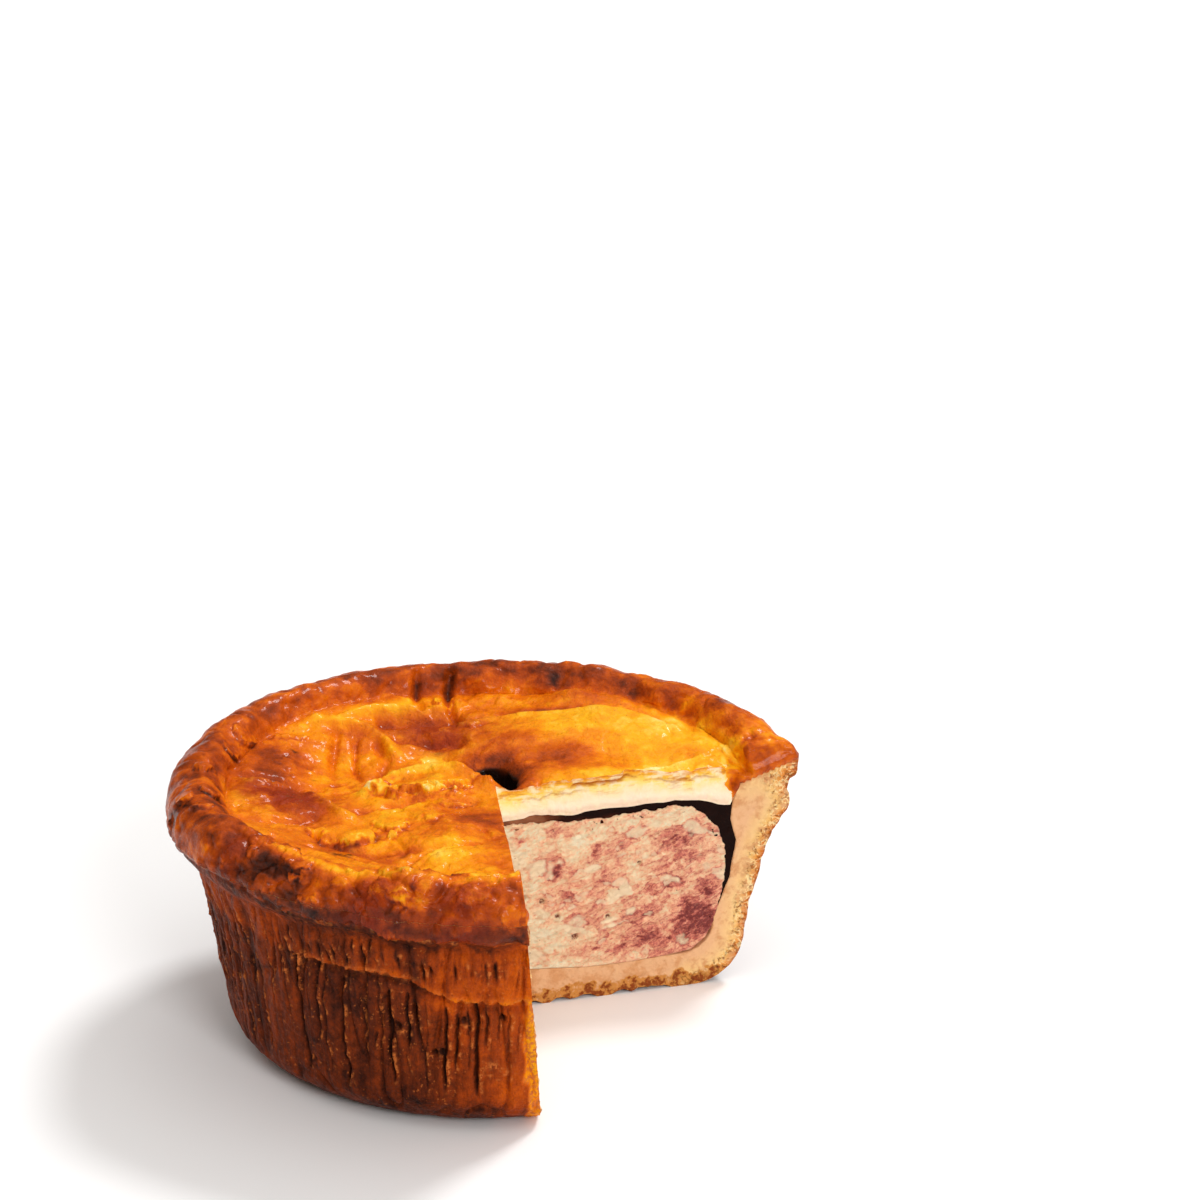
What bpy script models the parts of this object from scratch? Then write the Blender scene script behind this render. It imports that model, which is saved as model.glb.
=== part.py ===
"""Raised pork pie with a wedge cut out: crust case, crust lid, pork filling and set jelly.

Metres, +Z up. The origin is on the table, under the middle of the whole pie. The wedge
that was taken out faces +X and -Y, so the cut shows the filling from that side.

Each solid is a turned profile. All four are then bent by the same smooth hand-raised
shape, so that the gaps between them stay open, and the wedge is cut out of them last.
"""

import math

import bmesh
import bpy
from mathutils import Vector

# Driving dimensions of the crust, on its mean outline.
RIM_RADIUS = 0.0800
CREST_HEIGHT = 0.0690
WALL_TOP_RADIUS = 0.0738
WALL_TOP_HEIGHT = 0.0515
BASE_RADIUS = 0.0668
BASE_CORNER = 0.0130
WALL_THICKNESS = 0.0080
FLOOR_THICKNESS = 0.0090
FLOOR_CORNER = 0.0080
LID_TOP = 0.0600
LID_THICKNESS = 0.0082
GROOVE_RADIUS = 0.0655
GROOVE_HEIGHT = 0.0582

# The rolled rim is half an ellipse, split by the seam between lid and case.
ROLL_HALF_WIDTH = 0.0080
ROLL_HALF_HEIGHT = 0.0082
ROLL_RADIUS = RIM_RADIUS - ROLL_HALF_WIDTH
ROLL_HEIGHT = CREST_HEIGHT - ROLL_HALF_HEIGHT

# The lid hangs a little inside the wall, down to the cavity's corner.
CORNER_RADIUS = 0.0620
CORNER_HEIGHT = 0.0490
SEAM_RADIUS = 0.0634
SEAM_HEIGHT = 0.0545

# The filling, which the jelly parts from the crust above and beside.
FILLING_TOP = 0.0475
FILLING_SHOULDER = (0.0530, 0.0488)
FILLING_SIDE = 0.0604
FILLING_SIDE_HEIGHT = 0.0330
JELLY_FOOT = 0.0150
GAP = 0.0003

# The cut: both faces run through this point at lid height. The far face stands upright,
# and the foot of the near face leans away from the pie, by this much for each unit down.
CUT_POINT = (0.0015, 0.0030)
NEAR_CUT = math.radians(-83.6)
FAR_CUT = math.radians(17)
NEAR_LEAN = 0.078
CUTTER_REACH = 0.130
CUTTER_HEIGHT = 0.110

STEAM_HOLE_AT = (0.0006, 0.0144)
STEAM_HOLE_RADII = (0.0080, 0.0050)
STEAM_HOLE_TURN = math.radians(-62)

TURN_STEPS = 70
ARC_STEPS = 5

# Hand-raised unevenness of the outline: (azimuth, half width) in degrees, push outward.
OUTLINE_BULGES = (
    (14, 11, 0.0040),
    (52, 22, 0.0006),
    (95, 30, -0.0004),
    (150, 26, 0.0008),
    (205, 24, 0.0006),
    (245, 16, -0.0008),
    (270, 12, 0.0006),
)

# The same for the wall below the rim, which fades out upward.
WALL_BULGES = (
    (178, 28, -0.0004),
    (256, 34, 0.0020),
)

# Where the wall sags outward under the rim, beside the far cut: azimuth, half width,
# height, half height, push.
RIM_SAG = (16, 12, 0.0475, 0.0060, 0.0042)

# Unevenness of the rolled rim's height: (azimuth, half width) in degrees, lift.
RIM_LIFTS = (
    (18, 9, -0.0028),
    (78, 16, 0.0006),
    (118, 20, 0.0004),
    (178, 12, -0.0006),
    (214, 12, 0.0008),
    (238, 9, -0.0010),
    (262, 12, 0.0004),
)

# Humps and hollows of the lid: x, y, reach along, reach across, turn in degrees, lift.
LID_HUMPS = (
    (0.0230, 0.0400, 0.0310, 0.0150, 4, 0.0060),
    (0.0170, 0.0130, 0.0150, 0.0080, 17, 0.0016),
    (-0.0170, 0.0420, 0.0130, 0.0080, 10, 0.0026),
    (-0.0130, 0.0260, 0.0110, 0.0070, 130, -0.0040),
    (-0.0400, 0.0130, 0.0170, 0.0150, 0, -0.0026),
    (-0.0130, 0.0060, 0.0090, 0.0100, -30, 0.0026),
    (-0.0090, -0.0240, 0.0080, 0.0180, 10, 0.0016),
    (-0.0330, -0.0330, 0.0130, 0.0130, 0, -0.0020),
    (-0.0130, -0.0480, 0.0140, 0.0080, 0, -0.0016),
)
HUMP_FADE_RADIUS = 0.0600

# How far pastry fills the groove inside the rim: (azimuth, fill), in between them evenly.
# Beside the far cut the groove stays open. The fill starts at its own radius.
GROOVE_FILL = (
    (0, 0),
    (17, 0),
    (24, 0.0034),
    (36, 0.0044),
    (60, 0.0046),
    (92, 0.0036),
    (120, 0.0051),
    (155, 0.0044),
    (182, 0.0036),
    (230, 0.0041),
    (280, 0.0041),
    (360, 0),
)
FILL_START_RADIUS = 0.0440
FILL_LOWEST = 0.0572


def arc(centre, radii, start, end, steps=ARC_STEPS):
    """Points on an elliptical arc; the angles are in degrees from +X."""
    turns = [math.radians(start + (end - start) * i / steps) for i in range(steps + 1)]
    return [
        (centre[0] + radii[0] * math.cos(turn), centre[1] + radii[1] * math.sin(turn))
        for turn in turns
    ]


def offset(points, distance):
    """The outline moved to the left of its direction; its two ends stay on the axis."""
    moved = []
    for index, point in enumerate(points):
        before = points[max(index - 1, 0)]
        after = points[min(index + 1, len(points) - 1)]
        along = Vector((after[0] - before[0], after[1] - before[1])).normalized()
        moved.append((point[0] - along.y * distance, point[1] + along.x * distance))
    moved[0] = (0, moved[0][1])
    moved[-1] = (0, moved[-1][1])
    return moved


def smooth(value):
    """A smooth step from 0 to 1."""
    value = min(max(value, 0), 1)
    return value * value * (3 - 2 * value)


def lid_underside():
    """The lid's underside, from the middle out to the cavity's corner."""
    height = LID_TOP - LID_THICKNESS
    droop = height - CORNER_HEIGHT
    return [
        (0, height),
        (0.0120, height + 0.0006),
        (0.0240, height),
        (0.0360, height + 0.0004),
        (0.0480, height + 0.0002),
        (0.0540, height - 0.25 * droop),
        (0.0585, CORNER_HEIGHT + 0.0003),
        (CORNER_RADIUS, CORNER_HEIGHT),
    ]


def wall_inside():
    """The case's inner face, from the cavity's corner down to the middle of the floor."""
    floor_corner = (BASE_RADIUS - WALL_THICKNESS - FLOOR_CORNER, FLOOR_THICKNESS + FLOOR_CORNER)
    return [
        (0.0618, 0.0450),
        (0.0632, 0.0390),
        (0.0622, 0.0290),
        *arc(floor_corner, (FLOOR_CORNER, FLOOR_CORNER), 8, -90),
        (0.0340, FLOOR_THICKNESS),
        (0.0170, FLOOR_THICKNESS),
        (0, FLOOR_THICKNESS),
    ]


def seam(side):
    """The joint between lid and case, from inside to outside, moved half a gap to one side."""
    shift = side * GAP / 2
    return [
        (SEAM_RADIUS - shift, SEAM_HEIGHT + shift),
        (0.0720, 0.0576 + shift),
        (RIM_RADIUS - 0.0002, ROLL_HEIGHT - 0.0006 + shift),
    ]


def lid_profile():
    """Lid: its top, the rolled rim's upper half, the seam and its underside."""
    top = [
        (0, LID_TOP),
        (0.0080, LID_TOP),
        (0.0160, LID_TOP),
        (0.0240, LID_TOP),
        (0.0320, LID_TOP),
        (0.0400, LID_TOP),
        (0.0480, LID_TOP - 0.0002),
        (0.0550, LID_TOP - 0.0006),
        (0.0610, GROOVE_HEIGHT + 0.0004),
        (GROOVE_RADIUS, GROOVE_HEIGHT),
    ]
    roll = arc((ROLL_RADIUS, ROLL_HEIGHT), (ROLL_HALF_WIDTH, ROLL_HALF_HEIGHT), 155, 2, 8)
    corner = (CORNER_RADIUS - GAP, CORNER_HEIGHT)
    inside = [corner, *reversed(lid_underside()[:-1])]
    return top + roll + list(reversed(seam(1))) + inside


def case_profile():
    """Case: floor, inner wall, seam, the rolled rim's lower half, outer wall and base."""
    corner = (CORNER_RADIUS, CORNER_HEIGHT)
    inside = [corner, *wall_inside()]
    roll = arc((ROLL_RADIUS, ROLL_HEIGHT), (ROLL_HALF_WIDTH, ROLL_HALF_HEIGHT), -12, -62, 4)
    foot = (BASE_RADIUS - BASE_CORNER, BASE_CORNER)
    outside = [
        (WALL_TOP_RADIUS, WALL_TOP_HEIGHT),
        (WALL_TOP_RADIUS - 0.0020, 0.0430),
        (WALL_TOP_RADIUS - 0.0040, 0.0320),
        (WALL_TOP_RADIUS - 0.0058, 0.0210),
        *arc(foot, (BASE_CORNER, BASE_CORNER), 4, -90),
        (0.0360, 0),
        (0.0180, 0),
        (0, 0),
    ]
    return list(reversed(inside)) + seam(-1) + roll + outside


def filling_profile():
    """Filling: a loaf of chopped pork that stands on the floor."""
    floor = FLOOR_THICKNESS + GAP
    shoulder_radius, shoulder_height = FILLING_SHOULDER
    return [
        (0, FILLING_TOP),
        (0.0150, FILLING_TOP),
        (0.0300, FILLING_TOP - 0.0004),
        (0.0420, FILLING_TOP),
        (shoulder_radius, shoulder_height),
        (0.0568, 0.0450),
        (0.0592, 0.0396),
        (FILLING_SIDE, FILLING_SIDE_HEIGHT),
        (FILLING_SIDE - 0.0006, 0.0270),
        (FILLING_SIDE - 0.0034, 0.0220),
        (0.0556, 0.0150),
        (0.0520, 0.0108),
        (0.0460, floor),
        (0.0230, floor),
        (0, floor),
    ]


def jelly_profile():
    """Jelly: the space between filling and crust, from the middle down to its foot."""
    outer = offset([*lid_underside(), *wall_inside()], -GAP)
    inner = offset(filling_profile(), GAP)
    outer = [point for point in outer if point[1] > JELLY_FOOT]
    inner = [point for point in inner if point[1] > JELLY_FOOT]
    return outer + list(reversed(inner))


def angle_from(azimuth, middle):
    """Degrees between two azimuths, from 0 to 180."""
    return abs((azimuth - middle + 180) % 360 - 180)


def ring_of(features, azimuth):
    """Sum of the smooth bumps that features puts round the pie, at one azimuth."""
    return sum(
        height * math.exp(-((angle_from(azimuth, middle) / width) ** 2))
        for middle, width, height in features
    )


def lid_lift(x, y):
    """How far the humps and hollows lift the lid at one place."""
    lift = 0
    for at_x, at_y, along, across, turn, height in LID_HUMPS:
        cos, sin = math.cos(math.radians(turn)), math.sin(math.radians(turn))
        u = ((x - at_x) * cos + (y - at_y) * sin) / along
        v = ((y - at_y) * cos - (x - at_x) * sin) / across
        lift += height * math.exp(-u * u - v * v)
    fade = 1 - smooth((math.hypot(x, y) - HUMP_FADE_RADIUS + 0.010) / 0.015)
    return lift * fade


def groove_fill(point, radius, azimuth):
    """How far the fill of the groove lifts one point of the turned pie."""
    azimuth %= 360
    for (start, low), (end, high) in zip(GROOVE_FILL, GROOVE_FILL[1:]):
        if start <= azimuth <= end:
            fill = low + (high - low) * smooth((azimuth - start) / (end - start))
    share = smooth((radius - FILL_START_RADIUS) / (GROOVE_RADIUS - FILL_START_RADIUS))
    share *= 1 - smooth((radius - GROOVE_RADIUS) / 0.003)
    share *= smooth((point.z - FILL_LOWEST) / 0.0008)
    return fill * share * (1 - smooth((point.z - GROOVE_HEIGHT - 0.0003) / 0.006))


def hand_raised(point):
    """Where the uneven shape of a hand-raised pie puts one point of the turned one."""
    radius = math.hypot(point.x, point.y)
    azimuth = math.degrees(math.atan2(point.y, point.x))
    outward = ring_of(OUTLINE_BULGES, azimuth) * (0.35 + 0.65 * smooth(point.z / 0.045))
    outward += ring_of(WALL_BULGES, azimuth) * (1 - smooth(point.z / WALL_TOP_HEIGHT))
    outward *= smooth((radius - 0.030) / 0.035)
    sag_azimuth, sag_width, sag_height, sag_reach, sag_push = RIM_SAG
    sag = ring_of([(sag_azimuth, sag_width, sag_push)], azimuth)
    sag *= math.exp(-(((point.z - sag_height) / sag_reach) ** 2))
    outward += sag * smooth((radius - SEAM_RADIUS) / (WALL_TOP_RADIUS - SEAM_RADIUS))
    scale = 1 + outward / max(radius, GAP)
    under = LID_TOP - LID_THICKNESS
    lid_share = 0.35 * smooth((point.z - 0.044) / (under - 0.044))
    lid_share += 0.65 * smooth((point.z - under) / (LID_TOP - 0.001 - under))
    rim_share = smooth((radius - GROOVE_RADIUS + 0.002) / 0.006)
    rim_share *= smooth((point.z - ROLL_HEIGHT + 0.001) / (0.7 * ROLL_HALF_HEIGHT))
    lift = lid_share * lid_lift(point.x, point.y) + rim_share * ring_of(RIM_LIFTS, azimuth)
    lift += groove_fill(point, radius, azimuth)
    return Vector((point.x * scale, point.y * scale, point.z + lift))


def baked(obj):
    """The object's evaluated shape as a mesh object of the same name, without modifiers."""
    graph = bpy.context.evaluated_depsgraph_get()
    mesh = bpy.data.meshes.new_from_object(obj.evaluated_get(graph))
    name, place = obj.name, obj.matrix_world.copy()
    bpy.data.objects.remove(obj)
    made = bpy.data.objects.new(name, mesh)
    made.matrix_world = place
    return made


def turned(name, profile, home):
    """A closed profile turned round the pie's axis, as a mesh bent by hand_raised."""
    mesh = bpy.data.meshes.new(name + "_profile")
    points = [(radius, 0, height) for radius, height in profile]
    mesh.from_pydata(points, [(i, i + 1) for i in range(len(points) - 1)], [])
    obj = bpy.data.objects.new(name, mesh)
    home.objects.link(obj)
    screw = obj.modifiers.new("turn", "SCREW")
    screw.steps = TURN_STEPS
    screw.render_steps = TURN_STEPS
    screw.use_merge_vertices = True
    screw.merge_threshold = 0.0001
    bpy.context.view_layer.update()
    obj = baked(obj)
    home.objects.link(obj)
    for vertex in obj.data.vertices:
        vertex.co = hand_raised(vertex.co)
    obj.data.shade_smooth()
    obj.data.set_sharp_from_angle(angle=math.radians(50))
    return obj


def wedge_cutter(home):
    """A block whose two long sides are the faces of the cut, sheared along the far face."""
    reach = [CUTTER_REACH * factor for factor in (1, 1.3, 1)]
    middle = (NEAR_CUT + FAR_CUT) / 2
    corners = [CUT_POINT]
    for distance, azimuth in zip(reach, (NEAR_CUT, middle, FAR_CUT)):
        x = CUT_POINT[0] + distance * math.cos(azimuth)
        y = CUT_POINT[1] + distance * math.sin(azimuth)
        corners.append((x, y))
    outline = bpy.data.curves.new("wedge_cutter", "CURVE")
    outline.dimensions = "2D"
    outline.fill_mode = "BOTH"
    outline.extrude = CUTTER_HEIGHT / 2
    spline = outline.splines.new("POLY")
    spline.points.add(len(corners) - 1)
    for place, corner in zip(spline.points, corners):
        place.co = (*corner, 0, 1)
    spline.use_cyclic_u = True
    cutter = bpy.data.objects.new("wedge_cutter", outline)
    cutter.location.z = CREST_HEIGHT / 2
    home.objects.link(cutter)
    bpy.context.view_layer.update()
    cutter = baked(cutter)
    home.objects.link(cutter)
    weld_outward(cutter.data)
    for vertex in cutter.data.vertices:
        drop = LID_TOP - CREST_HEIGHT / 2 - vertex.co.z
        vertex.co.x += drop * NEAR_LEAN * math.cos(FAR_CUT)
        vertex.co.y += drop * NEAR_LEAN * math.sin(FAR_CUT)
    return cutter


def weld_outward(mesh):
    """Welds a mesh's loose caps on and turns its faces outward."""
    shell = bmesh.new()
    shell.from_mesh(mesh)
    bmesh.ops.remove_doubles(shell, verts=shell.verts, dist=0.00001)
    bmesh.ops.recalc_face_normals(shell, faces=shell.faces)
    shell.to_mesh(mesh)
    shell.free()


def steam_hole_cutter(home):
    """An upright oval rod where steam leaves through the lid."""
    shape = bmesh.new()
    bmesh.ops.create_cone(
        shape, cap_ends=True, segments=20, radius1=1, radius2=1, depth=CUTTER_HEIGHT
    )
    bmesh.ops.scale(shape, vec=(*STEAM_HOLE_RADII, 1), verts=shape.verts)
    mesh = bpy.data.meshes.new("steam_hole_cutter")
    shape.to_mesh(mesh)
    shape.free()
    cutter = bpy.data.objects.new("steam_hole_cutter", mesh)
    cutter.location = (*STEAM_HOLE_AT, CREST_HEIGHT / 2)
    cutter.rotation_euler.z = STEAM_HOLE_TURN
    home.objects.link(cutter)
    return cutter


def cut(obj, cutter):
    """Takes the cutter's space out of the object."""
    boolean = obj.modifiers.new(cutter.name, "BOOLEAN")
    boolean.object = cutter
    boolean.operation = "DIFFERENCE"
    boolean.solver = "EXACT"
    cutter.hide_render = True
    cutter.display_type = "WIRE"


def finish(obj, colour, roughness):
    """Gives the object a material of its own."""
    material = bpy.data.materials.new(obj.name)
    material.use_nodes = True
    surface = material.node_tree.nodes["Principled BSDF"]
    surface.inputs["Base Color"].default_value = (*colour, 1)
    surface.inputs["Roughness"].default_value = roughness
    surface.inputs["Metallic"].default_value = 0
    obj.data.materials.clear()
    obj.data.materials.append(material)


def collection(name):
    """A new collection under the scene's own."""
    home = bpy.data.collections.new(name)
    bpy.context.scene.collection.children.link(home)
    return home


def main():
    for obj in list(bpy.data.objects):
        bpy.data.objects.remove(obj)
    pie = collection("pork_pie")
    helpers = collection("cutters")
    wedge = wedge_cutter(helpers)
    hole = steam_hole_cutter(helpers)
    case = turned("crust_case", case_profile(), pie)
    lid = turned("crust_lid", lid_profile(), pie)
    filling = turned("pork_filling", filling_profile(), pie)
    jelly = turned("jelly", jelly_profile(), pie)
    cut(lid, hole)
    for obj in (case, lid, filling, jelly):
        cut(obj, wedge)
    finish(case, (0.30, 0.10, 0.025), 0.55)
    finish(lid, (0.62, 0.26, 0.035), 0.35)
    finish(filling, (0.58, 0.30, 0.24), 0.60)
    finish(jelly, (0.06, 0.025, 0.018), 0.15)


main()
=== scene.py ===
"""Looks of a raised pork pie with a wedge taken out.

Every shape here is worked out in the maker's own millimetres, +Z up, with the origin on the
table under the middle of the whole pie, and is set into the frame's metres when it is built.
The two faces of the cut meet in an upright edge near the pie's middle. Each layer is a sweep
of columns that fan out from that edge, so that its ends lie exactly in the faces of the cut.
"""

import json
import logging
import math
from collections.abc import Callable, Sequence
from dataclasses import dataclass, field
from enum import Enum
from typing import ClassVar

import bpy
import numpy as np
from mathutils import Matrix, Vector
from mathutils.geometry import delaunay_2d_cdt


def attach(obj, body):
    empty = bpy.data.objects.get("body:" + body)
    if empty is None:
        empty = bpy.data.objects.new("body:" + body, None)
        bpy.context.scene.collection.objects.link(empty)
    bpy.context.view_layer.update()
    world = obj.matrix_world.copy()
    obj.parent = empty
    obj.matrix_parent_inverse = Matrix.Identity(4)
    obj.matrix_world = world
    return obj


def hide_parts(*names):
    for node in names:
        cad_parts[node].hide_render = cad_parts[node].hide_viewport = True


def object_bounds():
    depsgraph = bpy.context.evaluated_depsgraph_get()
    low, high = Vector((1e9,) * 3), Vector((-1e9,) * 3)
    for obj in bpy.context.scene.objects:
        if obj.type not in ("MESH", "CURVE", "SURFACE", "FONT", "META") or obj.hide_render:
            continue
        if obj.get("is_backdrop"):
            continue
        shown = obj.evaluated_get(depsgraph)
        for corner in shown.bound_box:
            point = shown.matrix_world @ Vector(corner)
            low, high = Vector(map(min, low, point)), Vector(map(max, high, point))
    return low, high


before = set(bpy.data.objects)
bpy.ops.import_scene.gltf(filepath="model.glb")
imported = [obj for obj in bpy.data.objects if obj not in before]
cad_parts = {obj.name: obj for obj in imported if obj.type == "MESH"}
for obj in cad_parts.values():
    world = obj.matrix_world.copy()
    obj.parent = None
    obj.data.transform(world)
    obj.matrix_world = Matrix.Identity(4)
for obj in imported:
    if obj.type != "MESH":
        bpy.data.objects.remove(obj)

Array = np.ndarray
Relief = Callable[[Array], Array]
Surface = Callable[[Array, Array], Array]
Pair = tuple[float, float]
Triple = tuple[float, float, float]
Line = tuple[Pair, ...]
Colour = tuple[float, float, float, float]
Stops = tuple[tuple[float, Colour], ...]
Socket = bpy.types.NodeSocket
Gathered = tuple[Array, Array, Array, dict[str, Array]]

FORM_HEIGHT = 69.7
LOG = logging.getLogger("pork_pie")


class Slot(Enum):
    """Names of the solids in model.glb that the pieces replace."""

    CASE = "crust_case"
    LID = "crust_lid"
    FILLING = "pork_filling"
    JELLY = "jelly"


class Side(Enum):
    """The two faces of the cut, by the column of a sweep that lies in each."""

    FAR = 0
    NEAR = -1


def ease(value: Array) -> Array:
    """A smooth step from 0 to 1."""
    value = np.clip(value, 0, 1)
    return value * value * (3 - 2 * value)


def bell(value: Array) -> Array:
    """A smooth bump, 1 in the middle and about a third one unit out."""
    return np.exp(-value * value)


def rise(value: Array, start: float, width: float) -> Array:
    """A smooth step up from 0 at the start to 1 a width further on."""
    return ease((value - start) / width)


def fall(value: Array, end: float, width: float) -> Array:
    """A smooth step down from 1, a width before the end, to 0 at the end."""
    return ease((end - value) / width)


def hump(value: Array, middle: float, width: float) -> Array:
    """A smooth bump round a middle."""
    return bell((value - middle) / width)


def srgb(red: int, green: int, blue: int) -> Colour:
    """Linear colour from the 0 to 255 values of a colour chart."""
    parts = [value / 255 for value in (red, green, blue)]
    linear = [p / 12.92 if p <= 0.04045 else ((p + 0.055) / 1.055) ** 2.4 for p in parts]
    return (linear[0], linear[1], linear[2], 1)


def shades(*rows: tuple[float, int, int, int]) -> Stops:
    """The stops of a row of colours: place, red, green and blue of each."""
    return tuple((row[0], srgb(*row[1:])) for row in rows)


def rows_of(kind: type, *rows: tuple) -> tuple:
    """One feature of a kind for each row of its numbers."""
    return tuple(kind(*row) for row in rows)


def azimuth_of(x: Array, y: Array) -> Array:
    """Azimuth of each place, in degrees from -180 to 180."""
    return np.degrees(np.arctan2(y, x))


def radius_of(points: Array) -> Array:
    """Distance of each point from the pie's middle line."""
    return np.hypot(points[..., 0], points[..., 1])


def joined(*axes: Array) -> Array:
    """Points from arrays of their coordinates."""
    return np.stack(axes, axis=-1)


class Grain:
    """Seeded smooth noise and crumb cells in three dimensions."""

    TABLE = 256

    def __init__(self, seed: int) -> None:
        """Draws the tables that every later value comes from.

        Args:
            seed: number that fixes the whole pattern.
        """
        draw = np.random.default_rng(seed)
        self.order = draw.permutation(self.TABLE)
        arrows = draw.normal(size=(self.TABLE, 3))
        self.arrows = arrows / np.linalg.norm(arrows, axis=1, keepdims=True)
        self.seats = draw.random((self.TABLE, 3))

    def number(self, cell: Array) -> Array:
        """A scrambled number from 0 to 255 for each whole-numbered cell."""
        order, last = self.order, self.TABLE - 1
        first = order[cell[..., 0] & last] + cell[..., 1]
        second = order[first & last] + cell[..., 2]
        return order[second & last]

    def soft(self, places: Array, size: float) -> Array:
        """Smooth noise, from about -1 to 1, whose bumps are about size across.

        Args:
            places: points in mm, their coordinates last.
            size: spacing of the bumps in mm.

        Returns:
            One value for each point.
        """
        scaled = places / size
        cell = np.floor(scaled).astype(np.int64)
        inside = scaled - cell
        fade = inside**3 * (inside * (inside * 6 - 15) + 10)
        value = np.zeros(places.shape[:-1])
        for corner in np.ndindex(2, 2, 2):
            step = np.array(corner)
            arrow = self.arrows[self.number(cell + step)]
            weight = np.prod(np.where(step == 1, fade, 1 - fade), axis=-1)
            value += weight * ((inside - step) * arrow).sum(axis=-1)
        return value * 1.6

    def rough(self, places: Array, size: float, layers: int = 3, keep: float = 0.5) -> Array:
        """Several sizes of smooth noise, each half as large as the one before.

        Args:
            places: points in mm.
            size: spacing of the largest bumps in mm.
            layers: how many sizes.
            keep: height of each size against the one before.

        Returns:
            One value for each point.
        """
        value = np.zeros(places.shape[:-1])
        for layer in range(layers):
            value += keep**layer * self.soft(places + 7.3 * layer, size / 2**layer)
        return value

    def cells(self, places: Array, size: float) -> tuple[Array, Array, Array]:
        """Crumb cells: scattered seats, each with the space nearest to it.

        Args:
            places: points in mm.
            size: spacing of the seats in mm.

        Returns:
            Distance to the nearest seat, how much further the second one is, both against
            size, and a number from 0 to 1 that belongs to the nearest seat.
        """
        scaled = places / size
        home = np.floor(scaled).astype(np.int64)
        nearest = np.full(places.shape[:-1], 9.0)
        second = np.full(places.shape[:-1], 9.0)
        owner = np.zeros(places.shape[:-1])
        for offset in np.ndindex(3, 3, 3):
            cell = home + np.array(offset) - 1
            number = self.number(cell)
            gap = np.linalg.norm(cell + self.seats[number] - scaled, axis=-1)
            closer = gap < nearest
            second = np.where(closer, nearest, np.minimum(second, gap))
            owner = np.where(closer, number / self.TABLE, owner)
            nearest = np.where(closer, gap, nearest)
        return nearest, second - nearest, owner


@dataclass(frozen=True)
class Swell:
    """A smooth bump round the pie: azimuth and half width in degrees, height in mm."""

    azimuth: float
    width: float
    push: float

    def at(self, azimuth: Array) -> Array:
        """Its height at each azimuth, in degrees."""
        away = np.abs((azimuth - self.azimuth + 180) % 360 - 180)
        return self.push * bell(away / self.width)


@dataclass(frozen=True)
class Spot:
    """An oval place seen from above, or on a face: centre, half sizes, turn and amount."""

    x: float
    y: float
    along: float
    across: float
    turn: float
    amount: float

    def reach(self, x: Array, y: Array) -> Array:
        """How far out each point is, with 1 on the oval's edge."""
        cos, sin = math.cos(math.radians(self.turn)), math.sin(math.radians(self.turn))
        u = ((x - self.x) * cos + (y - self.y) * sin) / self.along
        v = ((y - self.y) * cos - (x - self.x) * sin) / self.across
        return np.hypot(u, v)

    def soft(self, x: Array, y: Array) -> Array:
        """The amount, fading smoothly outward."""
        return self.amount * bell(self.reach(x, y))

    def ragged(self, x: Array, y: Array, tear: Array, edge: float = 0.12) -> Array:
        """From 0 outside to 1 inside an edge that the tear pushes in and out."""
        return ease((1 - self.reach(x, y) + tear) / edge)


@dataclass(frozen=True)
class Crease:
    """A line pressed in or raised along a few places: half width and height in mm."""

    points: Line
    width: float
    height: float

    def away(self, x: Array, y: Array) -> Array:
        """Distance from each point to the line, against its width, thinning at its ends."""
        nearest = np.full(np.shape(x), 1e9)
        for (x0, y0), (x1, y1) in zip(self.points, self.points[1:]):
            dx, dy = x1 - x0, y1 - y0
            share = np.clip(((x - x0) * dx + (y - y0) * dy) / (dx * dx + dy * dy), 0, 1)
            nearest = np.minimum(nearest, np.hypot(x - x0 - share * dx, y - y0 - share * dy))
        return nearest / self.width

    def soft(self, x: Array, y: Array) -> Array:
        """Its height at each point."""
        return self.height * bell(self.away(x, y))


def total(features: Sequence[Spot | Crease], x: Array, y: Array) -> Array:
    """Sum of the soft heights of several features."""
    return sum((feature.soft(x, y) for feature in features), np.zeros(np.shape(x)))


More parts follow.
